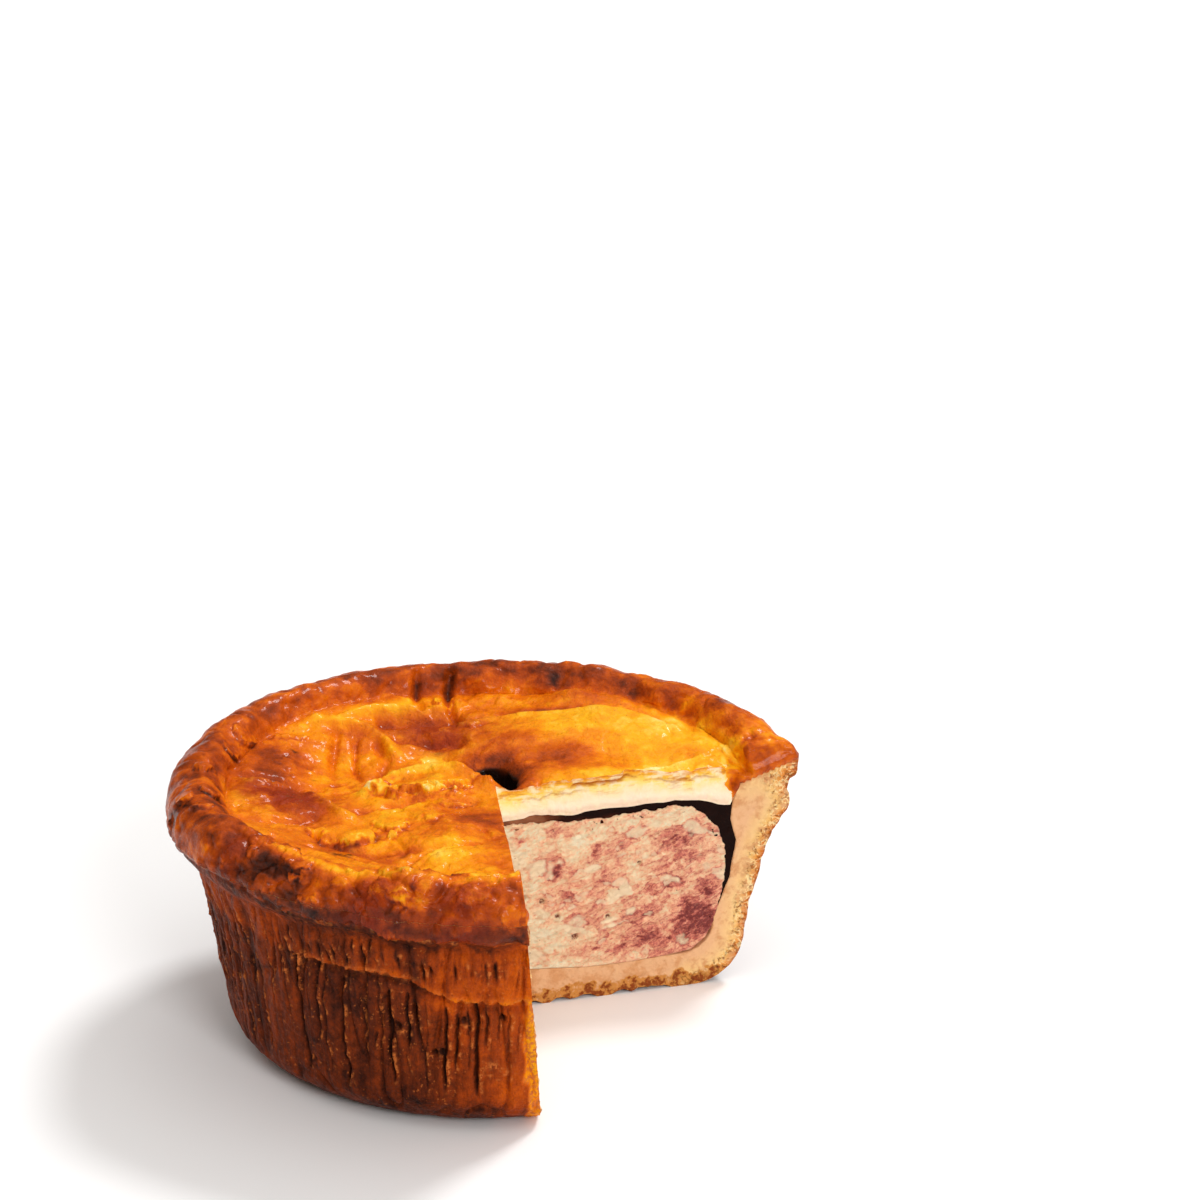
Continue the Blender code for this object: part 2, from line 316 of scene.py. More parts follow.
@dataclass(frozen=True)
class PieForm:
    """The hand-raised shape that all layers share, and the two faces of the cut.

    The fields are lengths in mm and angles in degrees. A layer is drawn as a profile of mean
    radius and height, and this form bends it into the uneven pie.
    """

    cut_x: float = 1.5
    cut_y: float = 3.0
    far_cut: float = 17.0
    near_cut: float = 276.4
    near_lean: float = 0.078
    lean_height: float = 60.0
    hub: float = 12.0
    inset: float = 0.0
    outline: tuple[Swell, ...] = rows_of(
        Swell,
        (14, 11, 4), (52, 22, 0.6), (95, 30, -0.4), (150, 26, 0.8), (205, 24, 0.6), (245, 16, -0.8),
        (270, 12, 0.6),
    )
    wall: tuple[Swell, ...] = (Swell(178, 28, -0.4), Swell(256, 34, 2))
    sag: Swell = Swell(16, 12, 4.2)
    sag_height: float = 47.5
    sag_reach: float = 6.0
    rim: tuple[Swell, ...] = rows_of(
        Swell,
        (18, 9, -2.8), (78, 16, 0.6), (118, 20, 0.4), (178, 12, -0.6), (214, 12, 0.8), (238, 9, -1),
        (262, 12, 0.4),
    )
    fill: Line = (
        (0, 0), (17, 0), (24, 4), (36, 5.2), (60, 5.4), (80, 4.6), (92, 4.2), (105, 5), (120, 6),
        (140, 5.8), (155, 5.2), (168, 4.6), (182, 4.2), (200, 4.2), (230, 4.8), (280, 4.8), (360, 0),
    )
    fill_start: float = 44.0
    fill_end: float = 65.5
    roll_centre: Pair = (72, 60.8)
    roll_radii: Pair = (8, 8.2)
    seam_radius: float = 79.97
    humps: tuple[Spot, ...] = rows_of(
        Spot,
        (23, 40, 31, 15, 4, 6), (17, 13, 15, 8, 17, 1.6), (-17, 42, 13, 8, 10, 2.6),
        (-13, 26, 11, 7, 130, -4), (-40, 13, 17, 15, 0, -2.6), (-13, 6, 9, 10, -30, 2.6),
        (-9, -24, 8, 18, 10, 1.6), (-33, -33, 13, 13, 0, -2), (-13, -48, 14, 8, 0, -1.6),
    )

    def cut_at(self, height: Array) -> Array:
        """Where the two faces meet at each height.

        Args:
            height: heights in mm.

        Returns:
            x and y, last.
        """
        far = math.radians(self.far_cut)
        slide = self.near_lean * (self.lean_height - height)
        middle = math.radians((self.far_cut + self.near_cut - 360) / 2)
        half = math.radians((self.far_cut - self.near_cut + 360) / 2)
        back = self.inset / math.sin(half)
        x = self.cut_x + slide * math.cos(far) - back * math.cos(middle)
        y = self.cut_y + slide * math.sin(far) - back * math.sin(middle)
        return joined(x, y)

    def along(self, points: Array) -> Array:
        """Distance of each point from the edge in which the two faces meet."""
        return np.hypot(*(points[..., :2] - self.cut_at(points[..., 2])).T)

    def roll(self, start: float, end: float, steps: int) -> list[Pair]:
        """The round outside of the rolled rim, between two angles in degrees."""
        return arc(self.roll_centre, self.roll_radii, start, end, steps)

    def ring(self, swells: Sequence[Swell], azimuth: Array) -> Array:
        """Sum of the swells at each azimuth, in degrees."""
        return sum((swell.at(azimuth) for swell in swells), np.zeros(np.shape(azimuth)))

    def outward(self, azimuth: Array, radius: Array, height: Array) -> Array:
        """How far the uneven outline pushes a point of the mean shape out.

        Args:
            azimuth: in degrees.
            radius: mean radius.
            height: mean height.

        Returns:
            The push in mm.
        """
        push = self.ring(self.outline, azimuth) * (0.35 + 0.65 * ease(height / 45))
        push += self.ring(self.wall, azimuth) * (1 - ease(height / 51.5))
        push *= rise(radius, 30, 35)
        sag = self.sag.at(azimuth) * bell((height - self.sag_height) / self.sag_reach)
        return push + sag * rise(radius, 63.4, 10.4)

    def fill_at(self, azimuth: Array) -> Array:
        """How far the groove inside the rim is filled at each azimuth, in mm."""
        turns, heights = (np.array(row) for row in zip(*self.fill))
        azimuth = azimuth % 360
        after = np.clip(np.searchsorted(turns, azimuth, side="right"), 1, len(turns) - 1)
        share = (azimuth - turns[after - 1]) / (turns[after] - turns[after - 1])
        return heights[after - 1] + (heights[after] - heights[after - 1]) * ease(share)

    def fill_share(self, radius: Array) -> Array:
        """Share of the fill that reaches each mean radius."""
        return ease((radius - self.fill_start) / (self.fill_end - self.fill_start))

    def lid_lift(self, x: Array, y: Array) -> Array:
        """Height that the lid's humps and hollows add, which fades out at the rim."""
        fade = 1 - rise(np.hypot(x, y), 50, 15)
        return total(self.humps, x, y) * fade

    def lift(self, x: Array, y: Array, radius: Array, height: Array) -> Array:
        """How far the humps of lid and rim lift a point of the mean shape.

        Args:
            x: place on the mean shape.
            y: place on the mean shape.
            radius: mean radius.
            height: mean height.

        Returns:
            The lift in mm.
        """
        share = 0.35 * rise(height, 44, 7.8) + 0.65 * rise(height, 51.8, 7.2)
        rim_share = rise(radius, 63.5, 6) * rise(height, 59.8, 5.74)
        return share * self.lid_lift(x, y) + rim_share * self.ring(self.rim, azimuth_of(x, y))

    def reach(self, theta: Array, radius: Array, height: Array) -> tuple[Array, Array]:
        """Sends points of the mean shape out along columns from the cut's edge.

        Args:
            theta: direction of each column in radians.
            radius: mean radius.
            height: mean height.

        Returns:
            Distance from the cut's edge, and the bent height.
        """
        theta, radius, height = np.broadcast_arrays(theta, radius, height)
        cut = self.cut_at(height)
        cos, sin = np.cos(theta), np.sin(theta)
        hub = np.maximum(radius, self.hub)
        azimuth = theta
        for _ in range(4):
            ring = hub + self.outward(np.degrees(azimuth), hub, height)
            along = cut[..., 0] * cos + cut[..., 1] * sin
            inside = ring**2 - cut[..., 0] ** 2 - cut[..., 1] ** 2
            distance = np.sqrt(along**2 + inside) - along
            x, y = cut[..., 0] + distance * cos, cut[..., 1] + distance * sin
            azimuth = np.arctan2(y, x)
        distance = distance * radius / hub
        x, y = cut[..., 0] + distance * cos, cut[..., 1] + distance * sin
        mean = hub / ring
        return distance, height + self.lift(x * mean, y * mean, radius, height)

    def stand(self, theta: Array, distance: Array, height: Array) -> Array:
        """Points at a distance from the cut's edge, at their own height.

        Args:
            theta: direction of each column in radians.
            distance: distance from the cut's edge.
            height: bent height.

        Returns:
            Points, coordinates last.
        """
        theta, distance, height = np.broadcast_arrays(theta, distance, height)
        cut = self.cut_at(height)
        x = cut[..., 0] + distance * np.cos(theta)
        y = cut[..., 1] + distance * np.sin(theta)
        return joined(x, y, height)

    def mean_radius(self, x: Array, y: Array, height: float) -> Array:
        """The mean radius of points of a level layer."""
        bent = np.hypot(x, y)
        azimuth = azimuth_of(x, y)
        radius = bent
        for _ in range(3):
            radius = bent - self.outward(azimuth, radius, np.full(np.shape(x), height))
        return radius

    def angle(self, side: Side) -> float:
        """Direction of one face of the cut, in radians."""
        return math.radians(self.far_cut if side is Side.FAR else self.near_cut)

    def outside(self, side: Side) -> Array:
        """The direction that a face of the cut looks in."""
        theta = self.angle(side)
        if side is Side.FAR:
            return np.array([math.sin(theta), -math.cos(theta), 0])
        down = np.array([math.cos(theta), math.sin(theta), 0])
        far = self.angle(Side.FAR)
        lean = np.array([-self.near_lean * math.cos(far), -self.near_lean * math.sin(far), 1])
        look = -np.cross(down, lean)
        return look / np.linalg.norm(look)


def fine(profile: Sequence[Pair], spacing: float) -> Array:
    """A profile with more points, evenly spaced along its straight runs.

    Args:
        profile: corners, as mean radius and height.
        spacing: distance between points.

    Returns:
        The points, one a row.
    """
    rows = [np.array(profile[0], dtype=float)]
    for start, end in zip(profile, profile[1:]):
        start, end = np.array(start, dtype=float), np.array(end, dtype=float)
        steps = max(1, round(float(np.linalg.norm(end - start)) / spacing))
        rows.extend(start + (end - start) * step / steps for step in range(1, steps + 1))
    return np.array(rows)


def arc(centre: Pair, radii: Pair, start: float, end: float, steps: int) -> list[Pair]:
    """Points on an oval's arc; the angles are in degrees from +X."""
    turns = [math.radians(start + (end - start) * step / steps) for step in range(steps + 1)]
    (x, y), (wide, tall) = centre, radii
    return [(x + wide * math.cos(turn), y + tall * math.sin(turn)) for turn in turns]


def inside_of(outline: Array, places: Array) -> Array:
    """Whether each place lies inside a closed outline.

    Args:
        outline: corners of the outline, in order.
        places: points to test.

    Returns:
        True for each one inside.
    """
    ahead = np.roll(outline, -1, axis=0)
    x, y = places[:, 0][:, None], places[:, 1][:, None]
    crosses = (outline[:, 1] > y) != (ahead[:, 1] > y)
    rise = np.where(ahead[:, 1] == outline[:, 1], 1e-9, ahead[:, 1] - outline[:, 1])
    at = outline[:, 0] + (y - outline[:, 1]) * (ahead[:, 0] - outline[:, 0]) / rise
    return (crosses & (x < at)).sum(axis=1) % 2 == 1


def blocks(places: Array, size: int = 4000) -> list[Array]:
    """The places in blocks that are small enough to work on at once."""
    return [places[start : start + size] for start in range(0, max(len(places), 1), size)]


def distance_to(line: Array, places: Array) -> Array:
    """Distance from each place to the nearest of a line's points."""
    gaps = [np.linalg.norm(some[:, None] - line[None], axis=-1) for some in blocks(places)]
    return np.concatenate([gap.min(axis=1) for gap in gaps])


def scatter(outline: Array, spacing: float, seed: int) -> Array:
    """Slightly uneven grid points inside an outline, clear of its edge.

    Args:
        outline: corners of the outline.
        spacing: distance between points.
        seed: number that fixes the unevenness.

    Returns:
        The points.
    """
    low, high = outline.min(axis=0), outline.max(axis=0)
    rows = np.arange(low[1], high[1], spacing * 0.866)
    columns = np.arange(low[0], high[0], spacing)
    grid_x, grid_y = np.meshgrid(columns, rows)
    grid_x += (np.arange(len(rows)) % 2)[:, None] * spacing / 2
    places = joined(grid_x.ravel(), grid_y.ravel())
    places += np.random.default_rng(seed).uniform(-0.2, 0.2, places.shape) * spacing
    places = np.concatenate([some[inside_of(outline, some)] for some in blocks(places)])
    return places[distance_to(outline, places) > spacing * 0.55]


def triangulate(outline: Array, places: Array) -> tuple[Array, Array]:
    """Triangles that fill an outline and use the given places.

    Args:
        outline: corners of the outline, in order.
        places: points inside it.

    Returns:
        All points, the outline's first, and the triangles, counter-clockwise.
    """
    points = np.concatenate([outline, places])
    count = len(outline)
    edges = [(index, (index + 1) % count) for index in range(count)]
    _, _, faces, sources, _, _ = delaunay_2d_cdt(
        [tuple(point) for point in points.tolist()], edges, [], 1, 1e-7, True
    )
    owner = np.array([source[0] if source else -1 for source in sources])
    faces = owner[np.array([tuple(face) for face in faces if len(face) == 3])]
    faces = faces[(faces >= 0).all(axis=1)]
    bridging = np.flatnonzero((faces < count).all(axis=1))
    inside = inside_of(outline, points[faces[bridging]].mean(axis=1))
    faces = np.delete(faces, bridging[~inside], axis=0)
    a, b, c = (points[faces[:, corner]] for corner in range(3))
    area = (b[:, 0] - a[:, 0]) * (c[:, 1] - a[:, 1]) - (b[:, 1] - a[:, 1]) * (c[:, 0] - a[:, 0])
    faces[area < 0] = faces[area < 0][:, ::-1]
    return points, faces


def small_holes(faces: Array) -> tuple[Array, Array]:
    """Triangles that close the holes of three or four edges left between thin triangles.

    Args:
        faces: three corners of each triangle.

    Returns:
        The missing triangles, and for each one the number of a triangle beside it.
    """
    ends = np.concatenate([faces[:, [0, 1]], faces[:, [1, 2]], faces[:, [2, 0]]])
    beside = np.tile(np.arange(len(faces)), 3)
    size = int(faces.max()) + 1
    lone = ~np.isin(ends[:, 1] * size + ends[:, 0], ends[:, 0] * size + ends[:, 1])
    after = {int(end): (int(start), int(face)) for (start, end), face in zip(ends[lone], beside[lone])}
    patches, of = [], []
    while after:
        start, (corner, face) = after.popitem()
        loop = [start]
        while corner != start and corner in after:
            loop.append(corner)
            corner, _ = after.pop(corner)
        for number in range(1, len(loop) - 1):
            patches.append((loop[0], loop[number], loop[number + 1]))
            of.append(face)
    return np.array(patches, dtype=int).reshape(-1, 3), np.array(of, dtype=int)


def make_object(
    name: str, points: Array, faces: Array, slots: Array, masks: dict[str, Array],
    finishes: Sequence[bpy.types.Material], unit: float,
) -> bpy.types.Object:
    """Makes a smooth mesh object from triangles.

    Args:
        name: the piece's name.
        points: points in mm.
        faces: three corners of each triangle.
        slots: number of each triangle's finish.
        masks: values from 0 to 1 at the points, by name.
        finishes: materials in the order of their numbers.
        unit: metres in one of the maker's millimetres.

    Returns:
        The new object, in the scene.
    """
    mesh = bpy.data.meshes.new(name)
    mesh.vertices.add(len(points))
    mesh.vertices.foreach_set("co", (points * unit).astype(np.float32).ravel())
    mesh.loops.add(3 * len(faces))
    mesh.loops.foreach_set("vertex_index", faces.astype(np.int32).ravel())
    mesh.polygons.add(len(faces))
    mesh.polygons.foreach_set("loop_start", np.arange(0, 3 * len(faces), 3, dtype=np.int32))
    mesh.update(calc_edges=True)
    for finish in finishes:
        mesh.materials.append(finish)
    mesh.polygons.foreach_set("material_index", slots.astype(np.int32))
    mesh.shade_smooth()
    for mask, values in masks.items():
        layer = mesh.attributes.new(mask, "FLOAT", "POINT")
        layer.data.foreach_set("value", np.clip(values, 0, 1).astype(np.float32))
    sharpen_borders(mesh, slots == len(finishes) - 1)
    mesh.validate()
    mesh.update()
    piece = bpy.data.objects.new(name, mesh)
    bpy.context.scene.collection.objects.link(piece)
    return piece


def sharpen_borders(mesh: bpy.types.Mesh, cut: Array) -> None:
    """Keeps the shading crisp where cut pastry meets the skin."""
    edge_of = np.empty(len(mesh.loops), dtype=np.int32)
    mesh.loops.foreach_get("edge_index", edge_of)
    cut_of = np.repeat(cut.astype(int), 3)
    lowest = np.full(len(mesh.edges), 9)
    highest = np.full(len(mesh.edges), -1)
    np.minimum.at(lowest, edge_of, cut_of)
    np.maximum.at(highest, edge_of, cut_of)
    layer = mesh.attributes.new("sharp_edge", "BOOLEAN", "EDGE")
    layer.data.foreach_set("value", lowest != highest)


@dataclass
class Sweep:
    """Columns that fan out from the cut's edge, from one face of the cut to the other."""

    form: PieForm
    columns: int
    back_share: float = 0.48
    back_end: float = 188.0

    def turns(self) -> Array:
        """Direction of each column, in radians: they stand closer together in front."""
        ends = (self.form.angle(Side.FAR), math.radians(self.back_end), self.form.angle(Side.NEAR))
        share = np.linspace(0, 1, self.columns + 1)
        return np.interp(share, (0, self.back_share, 1), ends)

    def band(
        self, radius: Array, height: Array, relief: Relief, seam: int | None = None
    ) -> tuple[Array, Array]:
        """Sweeps a profile round the pie and works its surface.

        Args:
            radius: mean radius of each row, or of each row at each column, with the outside
                on the profile's left.
            height: mean height in the same way.
            relief: gives the height of the surface detail for an array of points.
            seam: number of the row where two crusts meet, which is worked straight outward.

        Returns:
            Points, as rows, columns and coordinates, and their distance from the cut's edge.
        """
        theta = self.turns()[None, :]
        distance, height = self.form.reach(theta, radius, height)
        slope = joined(np.gradient(distance, axis=0), np.gradient(height, axis=0))
        slope /= np.maximum(np.linalg.norm(slope, axis=-1, keepdims=True), 1e-9)
        if seam is not None:
            slope[seam] = (0, -1)
        push = relief(self.form.stand(theta, distance, height)) * ease(distance / 1.5)
        distance = np.maximum(distance - push * slope[..., 1], 0)
        height += push * slope[..., 0]
        return self.form.stand(theta, distance, height), distance


def side_line(band: Array, distance: Array, side: Side) -> Array:
    """Distance and height of a band's rows along one face of the cut."""
    return joined(distance[:, side.value], band[:, side.value, 2])


def edge_line(top: float, bottom: float, spacing: float) -> Array:
    """Zero distances and heights down the edge in which the two faces meet."""
    steps = max(2, round((top - bottom) / spacing))
    return joined(np.zeros(steps + 1), np.linspace(top, bottom, steps + 1))


class Shell:
    """Gathers grids and patches of points, welds them, and makes one closed mesh."""

    WELD = 4

    def __init__(self, form: PieForm) -> None:
        """Starts with nothing but the pie's form."""
        self.form = form
        self.points: list[Array] = []
        self.faces: list[Array] = []
        self.slots: list[Array] = []
        self.count = 0

    def add(self, points: Array, faces: Array, slot: int) -> None:
        """Adds triangles whose corners count from the first of these points."""
        self.points.append(points)
        self.faces.append(faces + self.count)
        self.slots.append(np.full(len(faces), slot))
        self.count += len(points)

    def grid(self, points: Array, slot: int) -> None:
        """Adds a grid, split along the shorter diagonal of each of its squares.

        Args:
            points: rows along the profile, columns round the pie, coordinates last.
            slot: number of the finish.
        """
        rows, columns = points.shape[:2]
        flat = points.reshape(-1, 3)
        corner = np.arange(rows * columns).reshape(rows, columns)
        a, b = corner[:-1, :-1].ravel(), corner[1:, :-1].ravel()
        c, d = corner[1:, 1:].ravel(), corner[:-1, 1:].ravel()
        one = np.linalg.norm(flat[a] - flat[c], axis=1)
        other = np.linalg.norm(flat[b] - flat[d], axis=1)
        short = one <= other
        halves = ((a, b, c, short), (a, c, d, short), (a, b, d, ~short), (b, c, d, ~short))
        faces = [joined(*ends)[wanted] for *ends, wanted in halves]
        self.add(flat, np.concatenate(faces), slot)

    def welded(self) -> tuple[Array, Array, Array]:
        """All points with equal ones joined, the triangles and their finishes."""
        points = np.concatenate(self.points)
        _, first, inverse = np.unique(
            np.round(points, self.WELD), axis=0, return_index=True, return_inverse=True
        )
        faces = inverse.reshape(-1)[np.concatenate(self.faces)]
        whole = (faces != np.roll(faces, 1, axis=1)).all(axis=1)
        faces, slots = faces[whole], np.concatenate(self.slots)[whole]
        patches, of = small_holes(faces)
        return points[first], np.concatenate([faces, patches]), np.concatenate([slots, slots[of]])

    def cap(
        self, side: Side, outline: Array, spacing: float, relief: Relief, slot: int, seed: int
    ) -> None:
        """Fills one face of the cut inside an outline.

        Args:
            side: which face of the cut.
            outline: distance from the cut's edge and height of each corner, in order.
            spacing: size of the triangles.
            relief: gives how far the face stands proud, for an array of points.
            slot: number of the finish.
            seed: number that fixes the points' unevenness.
        """
        places = scatter(outline, spacing, seed)
        flat, faces = triangulate(outline, places)
        theta = np.full(len(flat), self.form.angle(side))
        points = self.form.stand(theta, flat[:, 0], flat[:, 1])
        within = np.concatenate([np.zeros(len(outline)), ease(distance_to(outline, places) / 0.9)])
        points += (relief(points) * within)[:, None] * self.form.outside(side)
        if side is Side.NEAR:
            faces = faces[:, ::-1]
        self.add(points, faces, slot)

    def level_patch(
        self, rim: Array, height: Surface, spacing: float, slot: int, seed: int,
        upward: bool, holes: Sequence[Array] = (),
    ) -> dict[Side, Array]:
        """Fills the space inside a ring of points with a surface of known height.

        Args:
            rim: the ring of points, from the far face of the cut to the near one.
            height: gives the height at arrays of x and y.
            spacing: size of the triangles.
            slot: number of the finish.
            seed: number that fixes the points' unevenness.
            upward: whether the surface looks up.
            holes: rings of points that stay open inside.

        Returns:
            For each face of the cut, distance and height from the cut's edge out to the ring.
        """
        edges: dict[Side, Array] = {}
        apex = None
        for side in Side:
            end = rim[side.value]
            out = float(self.form.along(end))
            steps = max(2, round(out / spacing))
            distance = np.linspace(0, out, steps + 1)
            level = np.full(steps + 1, end[2])
            for _ in range(3):
                stood = self.form.stand(self.form.angle(side), distance, level)
                level = height(stood[:, 0], stood[:, 1])
                level[-1] = end[2]
                apex = level[0] if apex is None else apex
                level[0] = apex
            edges[side] = joined(distance, level)
        far, near = (self.form.stand(self.form.angle(side), *edges[side].T) for side in Side)
        outline = np.concatenate([rim, near[-2::-1], far[1:-1]])
        places = scatter(outline[:, :2], spacing, seed)
        for hole in holes:
            places = places[~inside_of(hole[:, :2], places)]
            places = places[distance_to(hole[:, :2], places) > spacing * 0.4]
            places = np.concatenate([places, hole[:, :2]])
        flat, faces = triangulate(outline[:, :2], places)
        level = np.concatenate([outline[:, 2], height(*places.T)])
        points = np.column_stack([flat, level])
        for hole in holes:
            nearest = np.linalg.norm(flat[:, None, :] - hole[None, :, :2], axis=-1)
            index, gap = nearest.argmin(axis=1), nearest.min(axis=1)
            points[gap < 1e-6] = hole[index[gap < 1e-6]]
            faces = faces[~inside_of(hole[:, :2], flat[faces].mean(axis=1))]
        self.add(points, faces if upward else faces[:, ::-1], slot)
        return edges


class Sum(Enum):
    """What a maths node does."""

    ADD = "ADD"
    TAKE = "SUBTRACT"
    TIMES = "MULTIPLY"


class Bench:
    """Builds one material's nodes, with places measured in the maker's millimetres."""

    def __init__(self, name: str, unit: float) -> None:
        """Starts a material.

        Args:
            name: the material's name.
            unit: metres in one of the maker's millimetres.
        """
        self.unit = unit
        self.material = bpy.data.materials.new(name)
        self.material.use_nodes = True
        self.tree = self.material.node_tree
        metres = self.node("TexCoord", {}).outputs["Object"]
        scaled = self.node("VectorMath", {0: metres, "Scale": 1 / unit}, operation="SCALE")
        self.place = scaled.outputs[0]

    def put(self, socket: Socket, value: object) -> None:
        """Links a socket or sets its number."""
        if isinstance(value, bpy.types.NodeSocket):
            self.tree.links.new(value, socket)
        elif value is not None:
            socket.default_value = value

    def node(self, kind: str, inputs: dict[str | int, object], **settings: str) -> bpy.types.Node:
        """Makes a node.

        Args:
            kind: the node's type, without the word that all of them begin with.
            inputs: what each input is linked or set to, by its name or number.
            settings: the node's own settings, by name.

        Returns:
            The node.
        """
        node = self.tree.nodes.new("ShaderNode" + kind)
        for setting, value in settings.items():
            setattr(node, setting, value)
        for socket, value in inputs.items():
            self.put(node.inputs[socket], value)
        return node

    def mask(self, name: str) -> Socket:
        """A mesh mask's value."""
        return self.node("Attribute", {}, attribute_name=name).outputs["Fac"]

    def turned(self, turn: Triple = (0, 0, 0), stretch: Triple = (1, 1, 1)) -> Socket:
        """The place, turned by degrees and then stretched."""
        angles = [math.radians(angle) for angle in turn]
        turned = self.node("Mapping", {"Rotation": angles, "Vector": self.place}).outputs[0]
        return self.node("Mapping", {"Scale": stretch, "Vector": turned}).outputs[0]

    def noise(
        self, size: float, detail: float, rough: float, at: Socket | None = None, warp: float = 0.0
    ) -> Socket:
        """Noise from 0 to 1, with bumps about size mm across."""
        look = {"Scale": 1 / size, "Detail": detail, "Roughness": rough, "Distortion": warp}
        return self.node("TexNoise", {"Vector": at or self.place, **look}).outputs["Fac"]

    def cells(self, size: float) -> Socket:
        """Distance pattern of cells about size mm across."""
        node = self.node("TexVoronoi", {"Vector": self.place, "Scale": 1 / size})
        return node.outputs["Distance"]

    def maths(self, how: Sum, first: object, second: object) -> Socket:
        """One sum of two values."""
        return self.node("Math", {0: first, 1: second}, operation=how.value).outputs[0]

    def times(self, first: object, second: object) -> Socket:
        """The product of two values."""
        return self.maths(Sum.TIMES, first, second)

    def shifted(self, value: Socket, parts: Sequence[tuple[Socket, float]]) -> Socket:
        """A value moved up and down by several noises, each with its amount."""
        for part, amount in parts:
            shift = self.times(self.maths(Sum.TAKE, part, 0.5), amount)
            value = self.maths(Sum.ADD, value, shift)
        return value

    def span(
        self, value: Socket, low: float, high: float, start: float = 0.0, end: float = 1.0
    ) -> Socket:
        """The value's smooth step between low and high, as start to end."""
        ends = {"From Min": low, "From Max": high, "To Min": start, "To Max": end}
        node = self.node("MapRange", {"Value": value, **ends}, interpolation_type="SMOOTHSTEP")
        return node.outputs["Result"]

    def ramp(self, value: Socket, stops: Sequence[tuple[float, Colour]]) -> Socket:
        """A colour from a row of stops."""
        node = self.node("ValToRGB", {"Fac": value})
        elements = node.color_ramp.elements
        while len(elements) < len(stops):
            elements.new(1)
        for element, (place, colour) in zip(elements, stops):
            element.position = place
            element.color = colour
        return node.outputs["Color"]

    def blend(self, amount: Socket, under: Socket, over: Colour, how: str = "MIX") -> Socket:
        """One colour over another."""
        inputs = {0: amount, 6: under, 7: over}
        return self.node("Mix", inputs, data_type="RGBA", blend_type=how).outputs[2]

    def over(self, colour: Socket, coats: Sequence[tuple[Socket, Colour]]) -> Socket:
        """A colour under several coats, each with its amount and its own colour."""
        for amount, coat in coats:
            colour = self.blend(amount, colour, coat)
        return colour

    def worked(self, heights: Sequence[tuple[Socket, float]]) -> Socket:
        """Fine relief from several heights, one on top of another, each with its depth in mm."""
        normal = None
        for height, depth in heights:
            size = {"Strength": 1, "Distance": depth * self.unit}
            normal = self.node("Bump", {**size, "Height": height, "Normal": normal}).outputs["Normal"]
        return normal


@dataclass(frozen=True)
class Finish:
    """What every finish has: a name, and a surface that it becomes."""

    name: str

    def surface(self, bench: Bench) -> dict[str, object]:
        """What each input of the surface is linked or set to, by name."""
        raise NotImplementedError

    def make(self, unit: float) -> bpy.types.Material:
        """Builds the material.

        Args:
            unit: metres in one of the maker's millimetres.

        Returns:
            The material.
        """
        bench = Bench(self.name, unit)
        shader = bench.tree.nodes["Principled BSDF"]
        for socket, value in self.surface(bench).items():
            bench.put(shader.inputs[socket], value)
        return bench.material


@dataclass(frozen=True)
class GlazedCrust(Finish):
    """Egg-washed, baked crust: its colour follows how far each place has baked, and the painted light
    and shade laid into that same value.
    """

    name: str = "glazed_crust"
    gloss: float = 0.17
    shine: float = 0.05
    roughest: float = 0.44
    grain_depth: float = 0.26
    blotch: float = 0.16
    upright: float = 0.0
    crumbly: float = 0.0
    stops: Stops = shades(
        (0, 253, 226, 150), (0.12, 253, 202, 74), (0.25, 251, 176, 22), (0.38, 243, 146, 6),
        (0.5, 226, 114, 2), (0.62, 198, 84, 4), (0.74, 157, 60, 8), (0.85, 110, 42, 11),
        (0.94, 68, 25, 9), (1, 30, 9, 3),
    )
    # Reddening, and painted shade where the blushes darken the valley by the steam hole.
    blush_and_shade: Colour = srgb(150, 45, 12)
    crumb: Colour = srgb(226, 134, 66)
    pore: Colour = srgb(140, 60, 20)
    # Near-black painted shade for the steam hole, the wall's cracks, the gap under the rim and small
    # holes in the lid.
    pit_shade: Colour = srgb(20, 7, 3)

    def surface(self, bench: Bench) -> dict[str, object]:
        """Browned crust under blushes, crumbs and pores, with a thin gloss. Some blushes are painted
        shade in a valley, some crumbs painted light beside cracks, and the near-black last coat is
        painted shade in holes, cracks and under the rim.
        """
        blotch = bench.noise(8, 4, 0.6, warp=0.5)
        fleck = bench.noise(3.2, 5, 0.7, warp=0.6)
        grain = bench.noise(1.2, 4, 0.7)
        wrinkle = bench.noise(1.5, 3, 0.6, at=bench.turned(stretch=(1, 1, 0.09)))
        parts = ((blotch, self.blotch), (fleck, 0.24), (grain, 0.16), (wrinkle, self.upright))
        colour = bench.ramp(bench.shifted(bench.mask("bake_and_shading"), parts), self.stops)
        speck = bench.span(bench.noise(0.9, 2, 0.5), 0.64, 0.69, 0, self.crumbly)
        coats = (
            (bench.times(bench.mask("blush_and_shade"), bench.span(fleck, 0.28, 0.54)), self.blush_and_shade),
            # The crumb coat also carries painted light on the right-hand edges of the wall's cracks.
            (bench.times(bench.mask("crumb"), bench.span(grain, 0.44, 0.58)), self.crumb),
            (bench.times(speck, bench.span(blotch, 0.4, 0.58)), self.crumb),
        )
        pores = bench.span(bench.cells(1.6), 0.06, 0.2, 1, 0)
        pores = bench.times(bench.times(pores, bench.span(blotch, 0.5, 0.6)), 0.5)
        colour = bench.blend(pores, bench.over(colour, coats), self.pore, "MULTIPLY")
        broad = bench.noise(6, 4, 0.6, warp=1)
        heights = [(bench.noise(0.9, 4, 0.65), self.grain_depth), (fleck, 0.7), (broad, 0.8)]
        if self.upright:
            heights.append((wrinkle, -0.7))
        return {
            "Base Color": bench.blend(bench.mask("pit_shade"), colour, self.pit_shade),
            "Roughness": bench.span(grain, 0.3, 0.7, self.roughest - 0.2, self.roughest),
            "Specular IOR Level": self.shine,
            "Coat Weight": self.gloss,
            "Coat Roughness": 0.14,
            "Normal": bench.worked(heights),
        }


